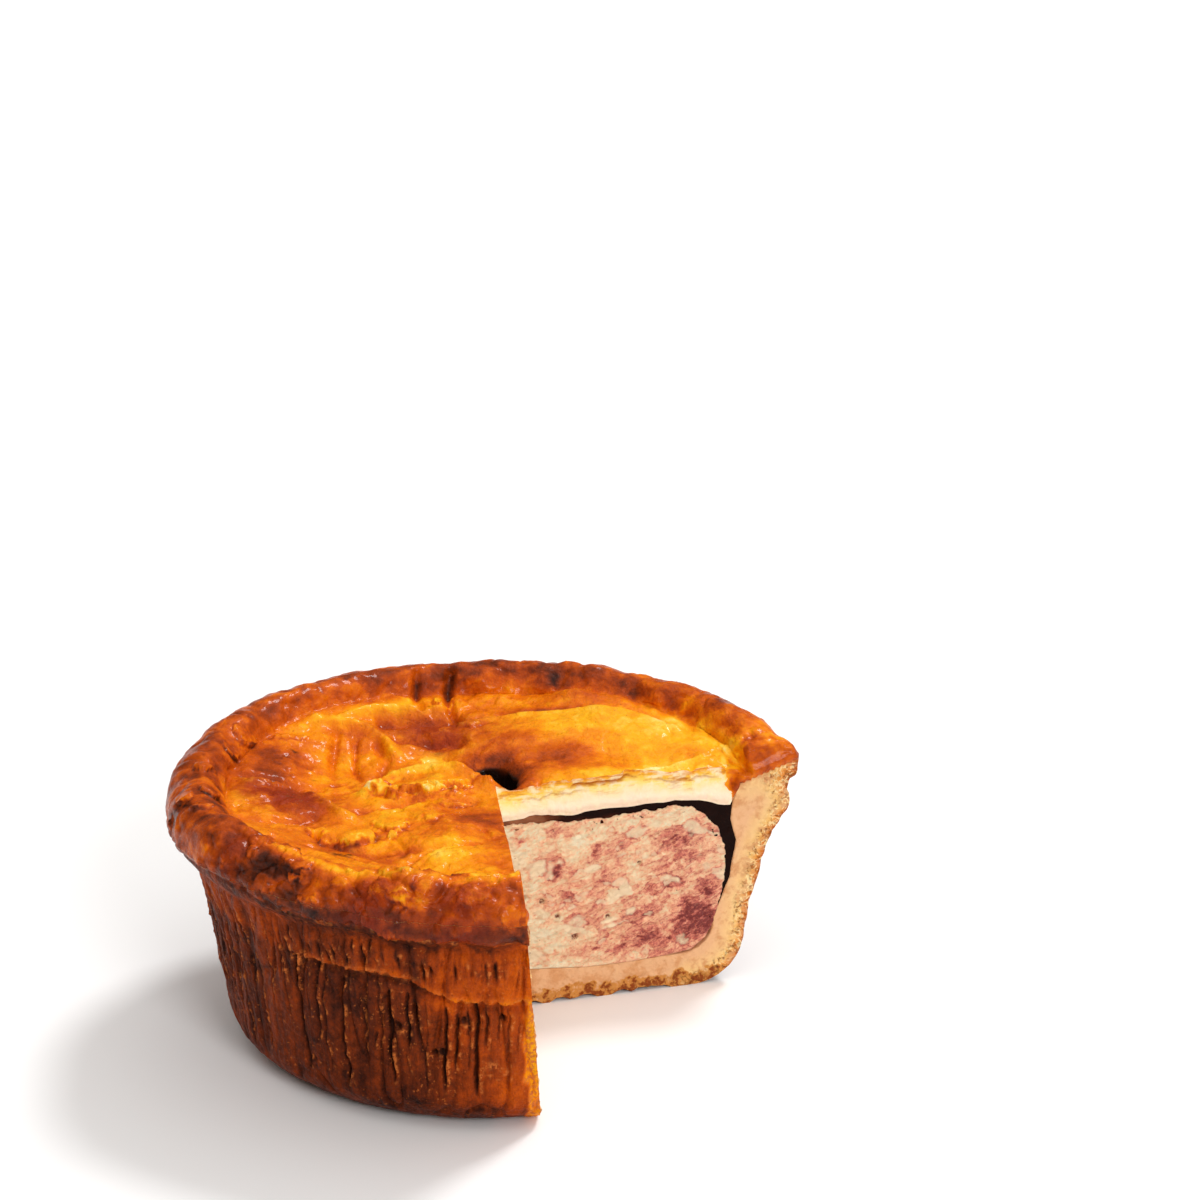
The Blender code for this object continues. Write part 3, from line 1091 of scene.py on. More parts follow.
@dataclass(frozen=True)
class CutPastry(Finish):
    """Pastry where the knife went through: pale dough under a baked skin."""

    stops: Stops
    layered: float
    porous: float
    cloud: Colour
    layer: Colour = srgb(252, 232, 186)
    fold: Colour = srgb(212, 134, 44)
    pore: Colour = srgb(192, 110, 48)
    strand: Colour = srgb(252, 222, 160)
    brown: Colour = srgb(206, 138, 66)
    dark: Colour = srgb(140, 66, 22)
    split: Colour = srgb(190, 98, 14)

    def surface(self, bench: Bench) -> dict[str, object]:
        """Dough that is layered near its skin, and porous and stranded elsewhere."""
        grain = bench.noise(0.8, 4, 0.65)
        patch = bench.noise(3, 4, 0.6)
        layers = bench.noise(2.4, 5, 0.65, at=bench.turned(stretch=(0.35, 0.35, 2.2)))
        depth = bench.shifted(bench.mask("depth"), ((grain, 0.12), (patch, 0.26)))
        near_skin = bench.span(depth, 0.2, 0.8, self.layered, 0)
        open_part = bench.span(depth, 0.34, 0.6, self.porous, 0)
        pores = bench.span(bench.noise(1.5, 4, 0.7, warp=1.2), 0.44, 0.36)
        pores = bench.times(pores, open_part)
        strands = bench.span(bench.noise(1.7, 3, 0.6, warp=1.5), 0.53, 0.6, 0, 0.8)
        browned = bench.maths(Sum.ADD, bench.mask("brown"), bench.maths(Sum.TAKE, grain, 0.5))
        coats = (
            (bench.times(bench.span(patch, 0.46, 0.64), 0.8), self.cloud),
            (bench.times(bench.span(layers, 0.5, 0.64), near_skin), self.layer),
            (bench.times(bench.span(layers, 0.46, 0.36), near_skin), self.fold),
            (pores, self.pore),
            (bench.times(strands, open_part), self.strand),
            (bench.span(browned, 0.25, 0.6), self.brown),
            (bench.span(bench.maths(Sum.ADD, browned, patch), 1.25, 1.55), self.dark),
            (bench.mask("split"), self.split),
        )
        return {
            "Base Color": bench.over(bench.ramp(depth, self.stops), coats),
            "Roughness": bench.span(grain, 0.3, 0.7, 0.5, 0.75),
            "Specular IOR Level": 0.15,
            "Normal": bench.worked(((grain, 0.3), (patch, 0.7), (pores, -0.3))),
        }


@dataclass(frozen=True)
class ChoppedPork(Finish):
    """Coarse chopped pork: pink lean, cream fat and dark cured streaks."""

    name: str = "chopped_pork"
    stops: Stops = shades(
        (0, 255, 238, 202), (0.22, 255, 222, 178), (0.42, 255, 198, 154), (0.6, 240, 160, 128),
        (0.78, 208, 110, 92), (1, 132, 48, 44),
    )
    fat: Colour = srgb(255, 228, 188)
    speck: Colour = srgb(150, 84, 54)
    # Painted shade in the pores and small pits of the cut face.
    pit_shade: Colour = srgb(122, 54, 36)

    def surface(self, bench: Bench) -> dict[str, object]:
        """Streaky, moist meat with specks and pits."""
        along = bench.turned((0, 22, 0), (0.5, 0.8, 1.4))
        fibre = bench.noise(1.9, 5, 0.75, at=along, warp=1.2)
        grain = bench.noise(0.7, 4, 0.75)
        lean = bench.shifted(bench.mask("lean"), ((fibre, 1.45), (grain, 0.9)))
        fat = bench.shifted(bench.mask("fat"), ((fibre, 0.9), (grain, 0.6)))
        coats = (
            (bench.span(fat, 0.22, 0.8), self.fat),
            (bench.span(bench.noise(1.2, 2, 0.5), 0.28, 0.24, 0, 0.7), self.speck),
            (bench.times(bench.mask("pit_shade"), bench.span(grain, 0.36, 0.56)), self.pit_shade),
        )
        return {
            "Base Color": bench.over(bench.ramp(lean, self.stops), coats),
            "Roughness": bench.span(grain, 0.3, 0.7, 0.24, 0.5),
            "Specular IOR Level": 0.4,
            "Normal": bench.worked(((fibre, 0.75), (grain, 0.35))),
        }


@dataclass(frozen=True)
class SetJelly(Finish):
    """Dark, clear jelly from the meat's juices, set under the lid."""

    name: str = "set_jelly"
    stops: Stops = shades(
        (0, 22, 6, 3), (0.35, 46, 17, 8), (0.65, 98, 50, 30), (1, 170, 112, 80),
    )

    def surface(self, bench: Bench) -> dict[str, object]:
        """Smooth jelly, paler where it is thin."""
        cloud = bench.noise(3, 3, 0.55)
        return {
            "Base Color": bench.ramp(bench.shifted(bench.mask("thin"), [(cloud, 0.4)]), self.stops),
            "Roughness": 0.2,
            "Specular IOR Level": 0.05,
            "Normal": bench.worked([(cloud, 0.6)]),
        }


@dataclass(frozen=True)
class CrustSkin:
    """Relief and baking of the whole crust's outside, with painted light and shade in the baking, the
    same for the lid and the case.

    Seen from above, plates are lifted flakes, knobs are bumps and hollows (one of them the pale
    oval), and the warmth, blushes and pits are places that baked more, reddened or stayed open.
    Some warmth spots are painted light and shade: the dome's lighter top and right side, its
    darker front flank and the darker groove behind it; the valley by the steam hole is darkened
    by warmth and blush spots as painted shade. The pits are painted dark as shade. The spots of
    front, and the crumbly and the bright patch of the wall, lie by azimuth and height; some front
    spots are painted shade in hollows and under the roll.
    A line round the pie has an azimuth and a height at each place, a crack an azimuth, top,
    bottom and depth, and a hole an azimuth, height and size. Each row of more cracks has where
    it starts and ends, and from what to what its gaps, tops, lengths and depths run; in the
    last one the tops are measured down from the ledge.
    """

    form: PieForm
    grain: Grain = field(default_factory=lambda: Grain(11))
    seed: int = 5
    hole: Spot = Spot(0.6, 14.4, 8.6, 5.5, -62, 1)
    hole_level: float = 60.0
    wall_degree: float = 1.22
    upright: Triple = (1, 1, 0.08)
    dome: Spot = Spot(24, 32, 34, 22, 6, 1)
    edge_line: Line = (
        (0, 53.5), (60, 54.5), (130, 55), (190, 56), (207, 58), (213, 59), (224, 59.2), (232, 55.9),
        (240, 55.3), (251, 56.2), (254, 54), (261, 54.4), (277, 54.6), (360, 54),
    )
    ledge_line: Line = (
        (0, 44), (150, 44), (185, 43), (210, 42.5), (235, 42), (242, 41.6), (249, 42.6), (254, 42.4),
        (261, 39.2), (266, 36.4), (273, 36.2), (279, 36.4), (360, 40),
    )
    creases: tuple[Crease, ...] = rows_of(
        Crease,
        (((-12, 68), (-13, 61), (-12, 55), (-10, 49)), 1.3, -1.8),
        (((-21, 66), (-21, 59), (-19, 52)), 1.1, -1.2),
        (((-40.5, 39), (-41.2, 26), (-39, 8)), 1.3, -1.2),
        (((-35.4, 37), (-35.5, 26), (-33, 16)), 0.9, -0.9),
        (((-30, 36), (-27, 28), (-29, 18)), 1.4, -1),
        (((-46, 43), (-39, 43), (-33, 42), (-28, 37), (-26, 30)), 1.8, 1),
        (((-38, 46), (-31, 50.5), (-23, 51.5), (-14, 53)), 1.8, 1.2),
        (((-29, 46), (-20, 47), (-9, 46)), 2.2, -1.6), (((-25, 38), (-16, 36), (-9, 34)), 2.2, -1.4),
        (((-31, 4), (-25, 10.5), (-19, 13.5), (-12, 13.2), (-5, 11), (0, 6)), 3, 2),
        (((-32, -8), (-24, -5), (-14, -3), (-4, -4)), 1.8, -1),
        (((33.9, 12.9), (42.8, 16.4), (48, 19.3), (53.2, 22.6)), 0.7, 0.8),
        (((-8, 46), (2, 48.5), (20, 49), (38, 46), (50, 38)), 2.2, -1),
        (((-7, 44), (4, 46), (20, 46.5), (36, 43), (47, 36)), 1.8, 0.7),
        (((-42, -24), (-34, -30), (-27, -34.5)), 1.1, -1),
        (((-22, -33), (-17, -34), (-9, -33), (-2, -32)), 0.9, -0.7),
        (((-21, -42), (-15, -36), (-12, -34)), 0.8, -0.6),
        (((-60, 2), (-52, 4.5), (-46, 2), (-41, -6), (-36, -12)), 1.9, 1.3),
        (((-62, 8), (-54, 9), (-46, 7)), 1.6, -0.9),
        (((-64, -19), (-56, -19), (-46, -17), (-43, -14)), 1.6, -1.1),
    )
    plates: tuple[Spot, ...] = rows_of(
        Spot,
        (-15.5, 7, 15, 8, 6, 1.4), (-23.6, -16, 4.6, 8.2, 0, 0.9), (-14, -14.4, 2.6, 5, 0, 0.7),
        (-35.4, -22, 8, 6.5, -32, 1.3), (-9, -5.5, 5, 2.4, 0, 0.7), (-7, 42.5, 4.2, 2.6, -10, 0.9),
        (-15.6, 29.5, 3.4, 2.4, 0, 0.9), (-14, 60, 3, 5, 10, 1), (-52, 34, 5, 2.6, 25, 0.6),
        (0, -50.5, 5, 3, 10, 0.8), (-63, 27, 5, 3, 55, 0.8), (-66, 17, 3, 3, 0, 0.7),
        (-71, 1, 3.4, 3.6, 0, 0.9), (-69, -16, 3.6, 3.4, 0, 0.9), (-74.5, -20, 3, 4, 0, 0.9),
        (-70, -28, 3, 3, 50, 0.8), (-19, -74, 4, 3, 0, 0.8), (-44, -60, 5, 3, -40, 0.7),
        (64, 29, 6, 4, 30, 0.6),
    )
    knobs: tuple[Spot, ...] = rows_of(
        Spot,
        (21, 58, 8, 4.5, -15, 3), (33, 55, 6, 4, -30, 1.6), (2, 60, 7, 3, 0, 1), (-4, 66, 3, 3, 0, 0.9),
        (8, 67, 2.6, 3, 0, -1), (17, 67, 2.6, 3, 0, -1.2), (25, 65, 2.6, 3, 0, 0.9),
        (43, 54, 4, 3, -40, 1), (-50, -5, 9, 7, -25, 1.8), (-34, 24, 7, 14, 0, -1.4),
        (-10.5, -38, 7.5, 9, -20, 0.9), (-56, -51, 4, 4, 0, -1.4), (-64, -40, 5, 6, 0, 1.4),
        (-16, 43, 12, 6, 0, -1.6), (-46, 15, 7, 6, 0, 0.9), (-24, -42, 7, 5, 30, -0.9),
        (6, -30, 4, 9, 0, 0.8),
    )
    pale_oval: int = 10
    # Places that baked more or less; some are painted light and shade: the dome's lighter top and right
    # side, its darker front flank, the darker valley by the steam hole and the groove behind the dome.
    warmth_and_shading: tuple[Spot, ...] = rows_of(
        Spot,
        (-54, 18, 8, 12, 10, 0.38), (-42, 22, 5, 12, -15, -0.1), (-51, 37, 7, 4, 15, -0.06),
        (-34, 30, 6, 12, 0, 0.1), (-33, 50, 10, 3.5, 20, -0.12), (-22, 57, 4, 6, 0, -0.18),
        (-16, 44, 13, 6, 0, 0.19), (-13, 36, 8, 4, 0, 0.18), (-15.6, 29.5, 3.4, 2.6, 0, -0.24),
        (-49, -4.5, 11, 8, -25, 0.36), (-20, 9, 14, 5, 8, 0.03), (-4, -18, 6, 8, 0, 0.16),
        (-16, -4, 13, 4, 8, -0.08), (-6, -12, 8, 8, 0, 0.1), (-23.6, -16, 4.6, 8, 0, -0.12),
        (-40, -30, 10, 6, 0, 0.12), (-26, -38, 8, 4, 0, 0.16), (-20, -34, 4, 2, 20, 0.2),
        (-10.5, -38, 7.5, 8.5, -20, -0.26), (4, -24, 6, 20, -4, 0.14), (0, -51, 6, 4, 0, -0.14),
        (16, 20, 14, 7, 20, 0.22), (3, 31, 7, 10, 0, 0.18), (24, 41, 22, 9, 5, -0.18),
        (46, 33, 15, 11, 20, -0.22), (38, 15, 19, 3.8, 17, -0.3), (12, 51, 18, 2.5, 0, 0.2),
        (24, 56, 8, 3, -20, 0.14), (52, 44, 7, 9, 40, -0.16), (60, 26, 5, 7, 20, -0.14),
    )
    # Reddened places; the two in the valley by the steam hole are painted shade.
    blushes: tuple[Spot, ...] = rows_of(
        Spot,
        (-49, -4.5, 10, 7.5, -25, 1), (-16, 43, 12, 6, 0, 0.8), (-12, 35, 7, 4, 0, 0.6),
        (-26, -74, 10, 5, 10, 0.6), (-4, -78, 9, 4, 0, 0.6), (-59, -49, 5, 4, 40, 0.5),
        (-60, 0, 6, 9, 0, 0.5),
    )
    # Small open holes in the lid, painted dark as shade.
    pits: tuple[Spot, ...] = rows_of(
        Spot,
        (-50.6, 26, 0.9, 0.7, 0, 0.9), (-45, 15, 0.5, 0.5, 0, 0.6), (-10, 0.6, 0.6, 0.5, 0, 0.8),
        (-14, 32, 1.2, 0.5, 10, 0.5), (-33, -30, 1.4, 0.5, -40, 0.5), (-20, -36, 1.2, 0.6, 10, 0.6),
    )
    # Baking round the rim by azimuth; the lighter right-hand end by the far face of the cut is painted
    # light.
    ring_bake_and_light: tuple[Swell, ...] = rows_of(
        Swell,
        (20, 9, -0.16), (60, 20, -0.03), (95, 22, 0.02), (180, 22, 0.03), (222, 12, 0.05),
    )
    front: tuple[Spot, ...] = rows_of(
        Spot,
        (220, 68, 5, 2.5, 0, 0.04), (216, 65, 4, 2, 0, -0.16), (221.5, 62, 7, 1.5, 0, 0.2),
        (226, 64, 3, 1.2, 0, 0.15), (232, 66, 3, 2, 0, 0.2), (227, 67, 3, 2, 0, 0.15),
        (238, 64, 4, 2.5, 0, -0.1), (246, 66, 3, 2, 0, -0.1), (250.6, 64, 4, 3, 0, 0.08),
        (255.8, 66.5, 2.4, 1.6, 0, -0.22), (254.6, 62, 3, 1.6, 0, 0.22),
        (259.8, 64, 2.5, 1.6, 0, -0.14), (265, 66, 3, 2, 0, 0.06), (270, 62, 2.5, 3, 0, -0.08),
        (244, 58, 6, 1.6, 0, 0.12), (262, 57, 8, 1.6, 0, 0.1), (274, 66, 2.5, 2.5, 0, -0.1),
    )
    crumbly_patch: Spot = Spot(272.6, 17.5, 4.4, 3.6, 0, 1)
    bright_patch: Spot = Spot(262.5, 36, 4, 2.6, 0, 1)
    cracks: tuple[tuple[float, float, float, float], ...] = (
        (215.5, 45, 26, 0.9), (218.5, 29, 10, 0.9), (226.5, 47, 33, 0.9), (230.3, 44, 9, 1.5),
        (235.2, 42, 19, 1.2), (240.8, 40, 8, 1.4), (246, 40, 31, 0.9), (248.2, 27, 19, 0.8),
        (251.2, 39, 11, 1.6), (255, 39, 20, 1.3), (256.8, 36, 26, 1), (262.6, 36, 10, 1.5),
        (264.8, 34, 16, 1.3), (267.2, 35, 25, 1.1), (268.9, 37, 9, 1.6), (270.8, 36, 22, 1.1),
        (275.2, 34, 19, 0.9), (273.2, 36, 24, 0.8),
    )
    crack_rows: tuple[tuple[float, float, Pair, Pair, Pair, Pair, bool], ...] = (
        (20, 213, (2.4, 6), (34, 46), (9, 32), (0.6, 1.5), False),
        (24, 277, (1.2, 3), (47, 52), (4, 11), (0.7, 1.4), False),
        (200, 276, (1.8, 4.4), (0, 3), (8, 30), (0.35, 0.6), True),
    )
    holes: tuple[Triple, ...] = (
        (253, 28.3, 1.3), (266.4, 31.5, 1.2), (273.8, 31.9, 1.2), (262, 22.4, 1.3), (260.5, 22, 0.9),
    )

    def azimuth(self, points: Array) -> Array:
        """Azimuth of each point, from 0 to 360 degrees."""
        return azimuth_of(points[..., 0], points[..., 1]) % 360

    def along(self, line: Line, azimuth: Array) -> Array:
        """Height of a line round the pie at each azimuth."""
        return np.interp(azimuth, *zip(*line))

    def shares(self, points: Array) -> tuple[Array, Array, Array]:
        """How far each point belongs to the lid's flat, the rolled rim and the wall."""
        azimuth = self.azimuth(points)
        radius = radius_of(points) - 0.9 * self.form.ring(self.form.outline, azimuth)
        below = self.along(self.edge_line, azimuth) - points[..., 2]
        outer = np.maximum(rise(radius, 62, 3), fall(points[..., 2], 46, 6))
        wall = rise(below, -0.8, 1.6) * outer
        ragged = 1.8 * self.grain.soft(points, 9) + 0.8 * self.grain.soft(points, 3.6)
        rolled = rise(radius + ragged, 62.5, 6) * (1 - wall)
        return 1 - wall - rolled, rolled, wall

    def flat_relief(self, points: Array) -> Array:
        """Height of the surface detail on the lid inside its rim."""
        grain, x, y = self.grain, points[..., 0], points[..., 1]
        smooth = 1 - 0.8 * self.dome.soft(x, y)
        height = 0.75 * grain.soft(points, 10) + 0.42 * smooth * grain.soft(points + 31, 5.2)
        height += smooth * (0.18 * grain.soft(points, 2.6) + 0.1 * grain.soft(points, 1.3))
        gate = smooth * ease(grain.soft(points + 60, 15) * 1.4 + 0.35)
        folds = bell(grain.soft(points * (1, 0.8, 1) + 13, 9) / 0.12)
        height -= 0.8 * folds * gate
        wrinkles = bell(grain.soft(points * (1.6, 0.8, 1) + 5, 4.2) / 0.2)
        height = height - 0.14 * wrinkles * smooth + 0.28 * smooth * self.blisters(points)
        oval = self.knobs[self.pale_oval].reach(x, y)
        height -= 0.4 * fall(oval, 1.3, 0.4) * bell(grain.soft(points, 3.4) / 0.16)
        lip = self.hole.reach(x, y)
        return height - 2.2 * hump(lip, 0.9, 0.32) * fall(lip, 2.2, 0.6)

    def blisters(self, points: Array) -> Array:
        """Where the skin has lifted in small ragged scabs, from 0 to 1."""
        grain = self.grain
        ragged = grain.soft(points + 200, 5) + 0.35 * grain.rough(points + 90, 1.9, 2)
        return rise(ragged, 0.22, 0.16)

    def rim_relief(self, points: Array) -> Array:
        """Height of the surface detail on the rolled rim."""
        grain = self.grain
        azimuth = self.azimuth(points)
        front = rise(azimuth, 212, 10)
        height = 0.8 * grain.soft(points + 17, 13) + 0.6 * grain.soft(points, 6.5)
        height += (0.2 + 0.28 * front) * grain.soft(points + 5, 3.1)
        height += (0.08 + 0.1 * front) * grain.soft(points, 1.5)
        gate = ease(grain.soft(points + 90, 12) * 1.4 + 0.5)
        height -= (0.6 + 0.5 * front) * bell(grain.soft(points + 70, 8) / 0.13) * gate
        height -= (0.08 + 0.22 * front) * bell(grain.soft(points + 33, 3.9) / 0.18)
        height += (0.12 + 0.53 * front) * self.blisters(points)
        below = points[..., 2] - self.along(self.edge_line, azimuth)
        open_crack = 0.7 + 0.9 * hump(azimuth, 246, 10)
        return height + 0.7 * hump(below, 2, 1.6) - open_crack * hump(below, -0.2, 0.8)

    def all_cracks(self) -> list[tuple[float, float, float, float]]:
        """The wall's cracks: those listed one by one, and others like them round the rest."""
        draw = np.random.default_rng(self.seed)
        made = list(self.cracks)
        for azimuth, end, gap, tops, lengths, depths, hangs in self.crack_rows:
            while azimuth < end:
                azimuth += draw.uniform(*gap)
                top = draw.uniform(*tops)
                if hangs:
                    top = self.along(self.ledge_line, azimuth) - top
                made.append((azimuth, top, top - draw.uniform(*lengths), draw.uniform(*depths)))
        return made

    def crack_depth(self, points: Array, widen: float = 1.0, shift: float = 0.0) -> Array:
        """How deep the wall is cracked at each point, in mm.

        Args:
            points: points of the wall.
            widen: makes every crack this much wider.
            shift: moves every crack this far round the wall, in mm.

        Returns:
            One depth for each point.
        """
        azimuth, height = self.azimuth(points), points[..., 2]
        slow, quick = points * (0.3, 0.3, 1), points * (0.5, 0.5, 1)
        wander = 1.1 * self.grain.soft(slow, 9) + 0.3 * self.grain.soft(quick, 3)
        wander += 0.12 * self.grain.soft(quick, 1.2)
        depth = np.zeros(points.shape[:-1])
        for middle, top, bottom, deep in self.all_cracks():
            away = (azimuth - middle) * self.wall_degree + wander - shift
            width = widen * (0.17 + 0.15 * deep)
            near = np.abs(away) < 4 * width
            length = ease((top - height) / 2.5) * ease((height - bottom) / 5)
            depth = np.maximum(depth, np.where(near, deep * bell(away / width) * length, 0))
        for middle, level, size in self.holes:
            reach = np.hypot((azimuth - middle) * self.wall_degree - shift, height - level) / size
            depth = np.maximum(depth, 1.6 * bell(reach * 1.3 / widen))
        return depth

    def furrows(self, points: Array) -> Array:
        """Depth of the fine upright wrinkles that cover the whole wall, from 0 to 1."""
        tall = points * self.upright
        gate = ease(self.grain.soft(points * (1, 1, 0.3), 11) * 1.3 + 0.95)
        coarse = bell(self.grain.soft(tall + 3, 6.2) / 0.085) * gate
        azimuth = self.azimuth(points)
        many = np.maximum(fall(azimuth, 222, 14), rise(points[..., 2], 40, 5))
        close = bell(self.grain.soft(tall + 50, 2.6) / 0.22) * (0.25 + 0.75 * many)
        return np.maximum(coarse, 0.7 * close)

    def wall_relief(self, points: Array) -> Array:
        """Height of the surface detail on the wall."""
        grain, z = self.grain, points[..., 2]
        azimuth = self.azimuth(points)
        tall = points * self.upright
        lower = fall(z, 53, 3) * rise(z, 2, 6)
        puff = np.minimum(np.abs(grain.soft(tall + 3, 6.2)) / 0.35, 1)
        front = 0.45 + 0.55 * rise(azimuth, 212, 14)
        height = 0.5 * puff + 0.35 * grain.soft(tall, 3.6) - 0.95 * front * self.furrows(points)
        height = height * lower + 0.2 * grain.rough(points, 4, 4, 0.6)
        edge = self.along(self.ledge_line, azimuth) + 0.7 * grain.rough(points * (1, 1, 0), 2.6)
        shown = rise(azimuth, 222, 20)
        ledge = 1.5 * ease((z - edge) / 0.7) * fall(z, 54, 6)
        ledge -= hump(z - edge, -1.1, 1)
        height = height + ledge * shown - self.crack_depth(points)
        return height + 0.5 * self.crumbs(points) * (grain.soft(points, 1.2) + 0.4)

    def relief(self, points: Array) -> Array:
        """Height of the surface detail, in mm.

        Args:
            points: points of the smooth surface.

        Returns:
            One height for each point.
        """
        x, y = points[..., 0], points[..., 1]
        shares = self.shares(points)
        height = self.mixed(shares, points, self.flat_relief, self.rim_relief, self.wall_relief)
        above = rise(points[..., 2], 57, 2) * (1 - shares[2])
        height += above * (1.4 * total(self.creases, x, y) + total(self.knobs, x, y))
        tear = self.tear(points)
        for plate in self.plates:
            lifted = plate.ragged(x, y, tear, 0.22) * self.front_share(plate, y)
            height += 1.3 * above * plate.amount * lifted
        return height

    def front_share(self, plate: Spot, y: Array) -> Array:
        """How far a flaky plate has lifted: fully at its front edge, and not at its back."""
        return ease(0.55 - 0.6 * (y - plate.y) / max(plate.across, plate.along * 0.5))

    def share_out(self, share: Array, points: Array, work: Relief) -> Array:
        """Works a value out where its share is above zero, and weighs it by the share."""
        value = np.zeros(points.shape[:-1])
        found = share > 0
        if found.any():
            value[found] = share[found] * work(points[found])
        return value

    def mixed(self, shares: Sequence[Array], points: Array, *works: Relief) -> Array:
        """A value worked out in one way for each share, and added up."""
        parts = [self.share_out(share, points, work) for share, work in zip(shares, works)]
        return parts[0] + parts[1] + parts[2]

    def tear(self, points: Array) -> Array:
        """Noise that tears the edges of flaky plates."""
        return 0.42 * self.grain.rough(points, 4.6, 3, 0.55)

    def crumbs(self, points: Array) -> Array:
        """Where the wall is crumbly, from 0 to 1, with painted light on the right-hand edge of each
        crack.
        """
        grain, z = self.grain, points[..., 2]
        azimuth = self.azimuth(points)
        # Crumbs kept to the right-hand side of each crack, where they are also painted light on its lit
        # edge.
        beside = ease(self.crack_depth(points, 1.5, 0.6) / 0.5)
        beside *= 1 - ease(self.crack_depth(points) / 0.6)
        beside *= rise(grain.soft(points, 2.2), -0.1, 0.3)
        patch = self.crumbly_patch.ragged(azimuth, z, self.tear(points), 0.9)
        patch = 0.9 * patch * rise(grain.soft(points + 40, 1.8), -0.1, 0.25)
        edge = z - self.along(self.ledge_line, azimuth)
        fuzz = 1.2 * hump(edge, 0.3, 1.2) * rise(azimuth, 226, 6)
        fuzz *= ease(grain.soft(points, 2) + 0.6)
        under = z - self.along(self.edge_line, azimuth)
        loose = hump(under, -0.2, 0.8) * rise(azimuth, 228, 8)
        loose *= rise(grain.soft(points, 2.2), -0.1, 0.3)
        return np.clip(beside + patch + 0.8 * fuzz + loose + self.worn(points), 0, 1)

    def worn(self, points: Array) -> Array:
        """Where the skin beside the near face of the cut is worn to crumbs."""
        cut = self.form.cut_at(points[..., 2])
        away = ((cut - points[..., :2]) * self.form.outside(Side.NEAR)[:2]).sum(axis=-1)
        front = rise(self.azimuth(points), 240, 10)
        wide = 2.2 + 1.2 * self.grain.soft(points, 4) + 0.06 * (36 - points[..., 2])
        return front * ease((wide - away) / 1.2) * fall(points[..., 2], 38, 3)

    def flat_bake_and_shading(self, points: Array) -> Array:
        """How far the lid has baked inside its rim, with painted light and shade from some warmth
        spots, on its blisters and at the steam hole's lip.
        """
        grain, x, y = self.grain, points[..., 0], points[..., 1]
        bake_and_shading = 0.47 + 0.07 * grain.rough(points, 16) + total(self.warmth_and_shading, x, y)
        brushed = points * (0.5, 1.3, 1)
        bake_and_shading += 0.07 * grain.rough(brushed + 77, 7)
        # Painted light on the raised blisters.
        bake_and_shading -= 0.07 * self.blisters(points)
        # Baked darker round the steam hole, with painted shade where the top drops into it.
        return bake_and_shading + 0.28 * hump(self.hole.reach(x, y), 1, 0.6)

    def rim_bake_and_shading(self, points: Array) -> Array:
        """How far the rolled rim has baked, with painted light on raised places and its front top
        ridge, and painted shade in its hollows, under the roll and on the back's inner slope.
        """
        grain, z = self.grain, points[..., 2]
        azimuth, radius = self.azimuth(points), radius_of(points)
        bake_and_shading = 0.665 + self.form.ring(self.ring_bake_and_light, azimuth)
        bake_and_shading += 0.11 * grain.rough(points + 40, 6.5, 4, 0.65)
        # Painted light and shade: the rim is lighter where its relief noise rises, on the raised
        # blisters too, and darker where it sinks.
        bake_and_shading = bake_and_shading - 0.07 * grain.soft(points, 6.5) - 0.09 * grain.soft(points + 5, 3.1)
        front, low = rise(azimuth, 216, 12), fall(z, 62, 4)
        bake_and_shading -= (0.08 + 0.05 * front) * (self.blisters(points) - 0.3)
        # Painted light along the front top ridge, where the rim faces up, and painted shade on the
        # outward face below it.
        lit_crest = bell((radius - 72.4 + 1.2 * grain.soft(points, 7)) / 2)
        bake_and_shading -= 0.32 * front * lit_crest
        bake_and_shading += 0.05 * front * rise(radius, 75, 3)
        # The front spots are blotches, some of them painted shade in hollows and under the roll.
        bake_and_shading += front * total(self.front, azimuth, z)
        # Painted shade on the inner slope of the back rim.
        back = rise(azimuth, 40, 20) * fall(azimuth, 135, 20)
        bake_and_shading += 0.06 * back * hump(radius, 68.5, 3)
        # Painted shade under the roll, left out at the right-hand end.
        return bake_and_shading + 0.1 * low - 0.1 * fall(azimuth, 45, 12) * low

    def wall_bake_and_shading(self, points: Array) -> Array:
        """How far the wall has baked, with painted shade in its furrows, cracks and under the ledge,
        and painted light on its right-hand part.
        """
        grain, z = self.grain, points[..., 2]
        azimuth = self.azimuth(points)
        edge = self.along(self.ledge_line, azimuth)
        under = self.along(self.edge_line, azimuth) - z
        bake_and_shading = 0.87 - 0.04 * fall(azimuth, 232, 10)
        bake_and_shading += 0.05 * grain.rough(points * (1, 1, 0.5), 9)
        bake_and_shading += 0.05 * grain.soft(points * (1, 1, 0.2), 3)
        bake_and_shading -= 0.1 * ease((z - edge) / 2) * rise(under, 2, 3)
        bake_and_shading -= 0.2 * hump(z - edge, 0.4, 1.1) * rise(azimuth, 230, 6)
        bake_and_shading -= 0.2 * self.bright_patch.soft(azimuth, z)
        # Painted light on the right-hand part of the front wall and beside the near face of the cut.
        bake_and_shading -= 0.08 * rise(azimuth, 254, 12) * rise(z, 4, 6)
        bake_and_shading -= 0.08 * rise(azimuth, 270, 5)
        # Painted shade in the furrows and the cracks.
        bake_and_shading = bake_and_shading + 0.12 * self.furrows(points) + 0.14 * ease(self.crack_depth(points) / 0.9)
        # Painted shadow under the ledge.
        bake_and_shading += 0.07 * hump(z - edge, -1.3, 1.2) * rise(azimuth, 222, 10)
        return bake_and_shading - 0.4 * self.worn(points)

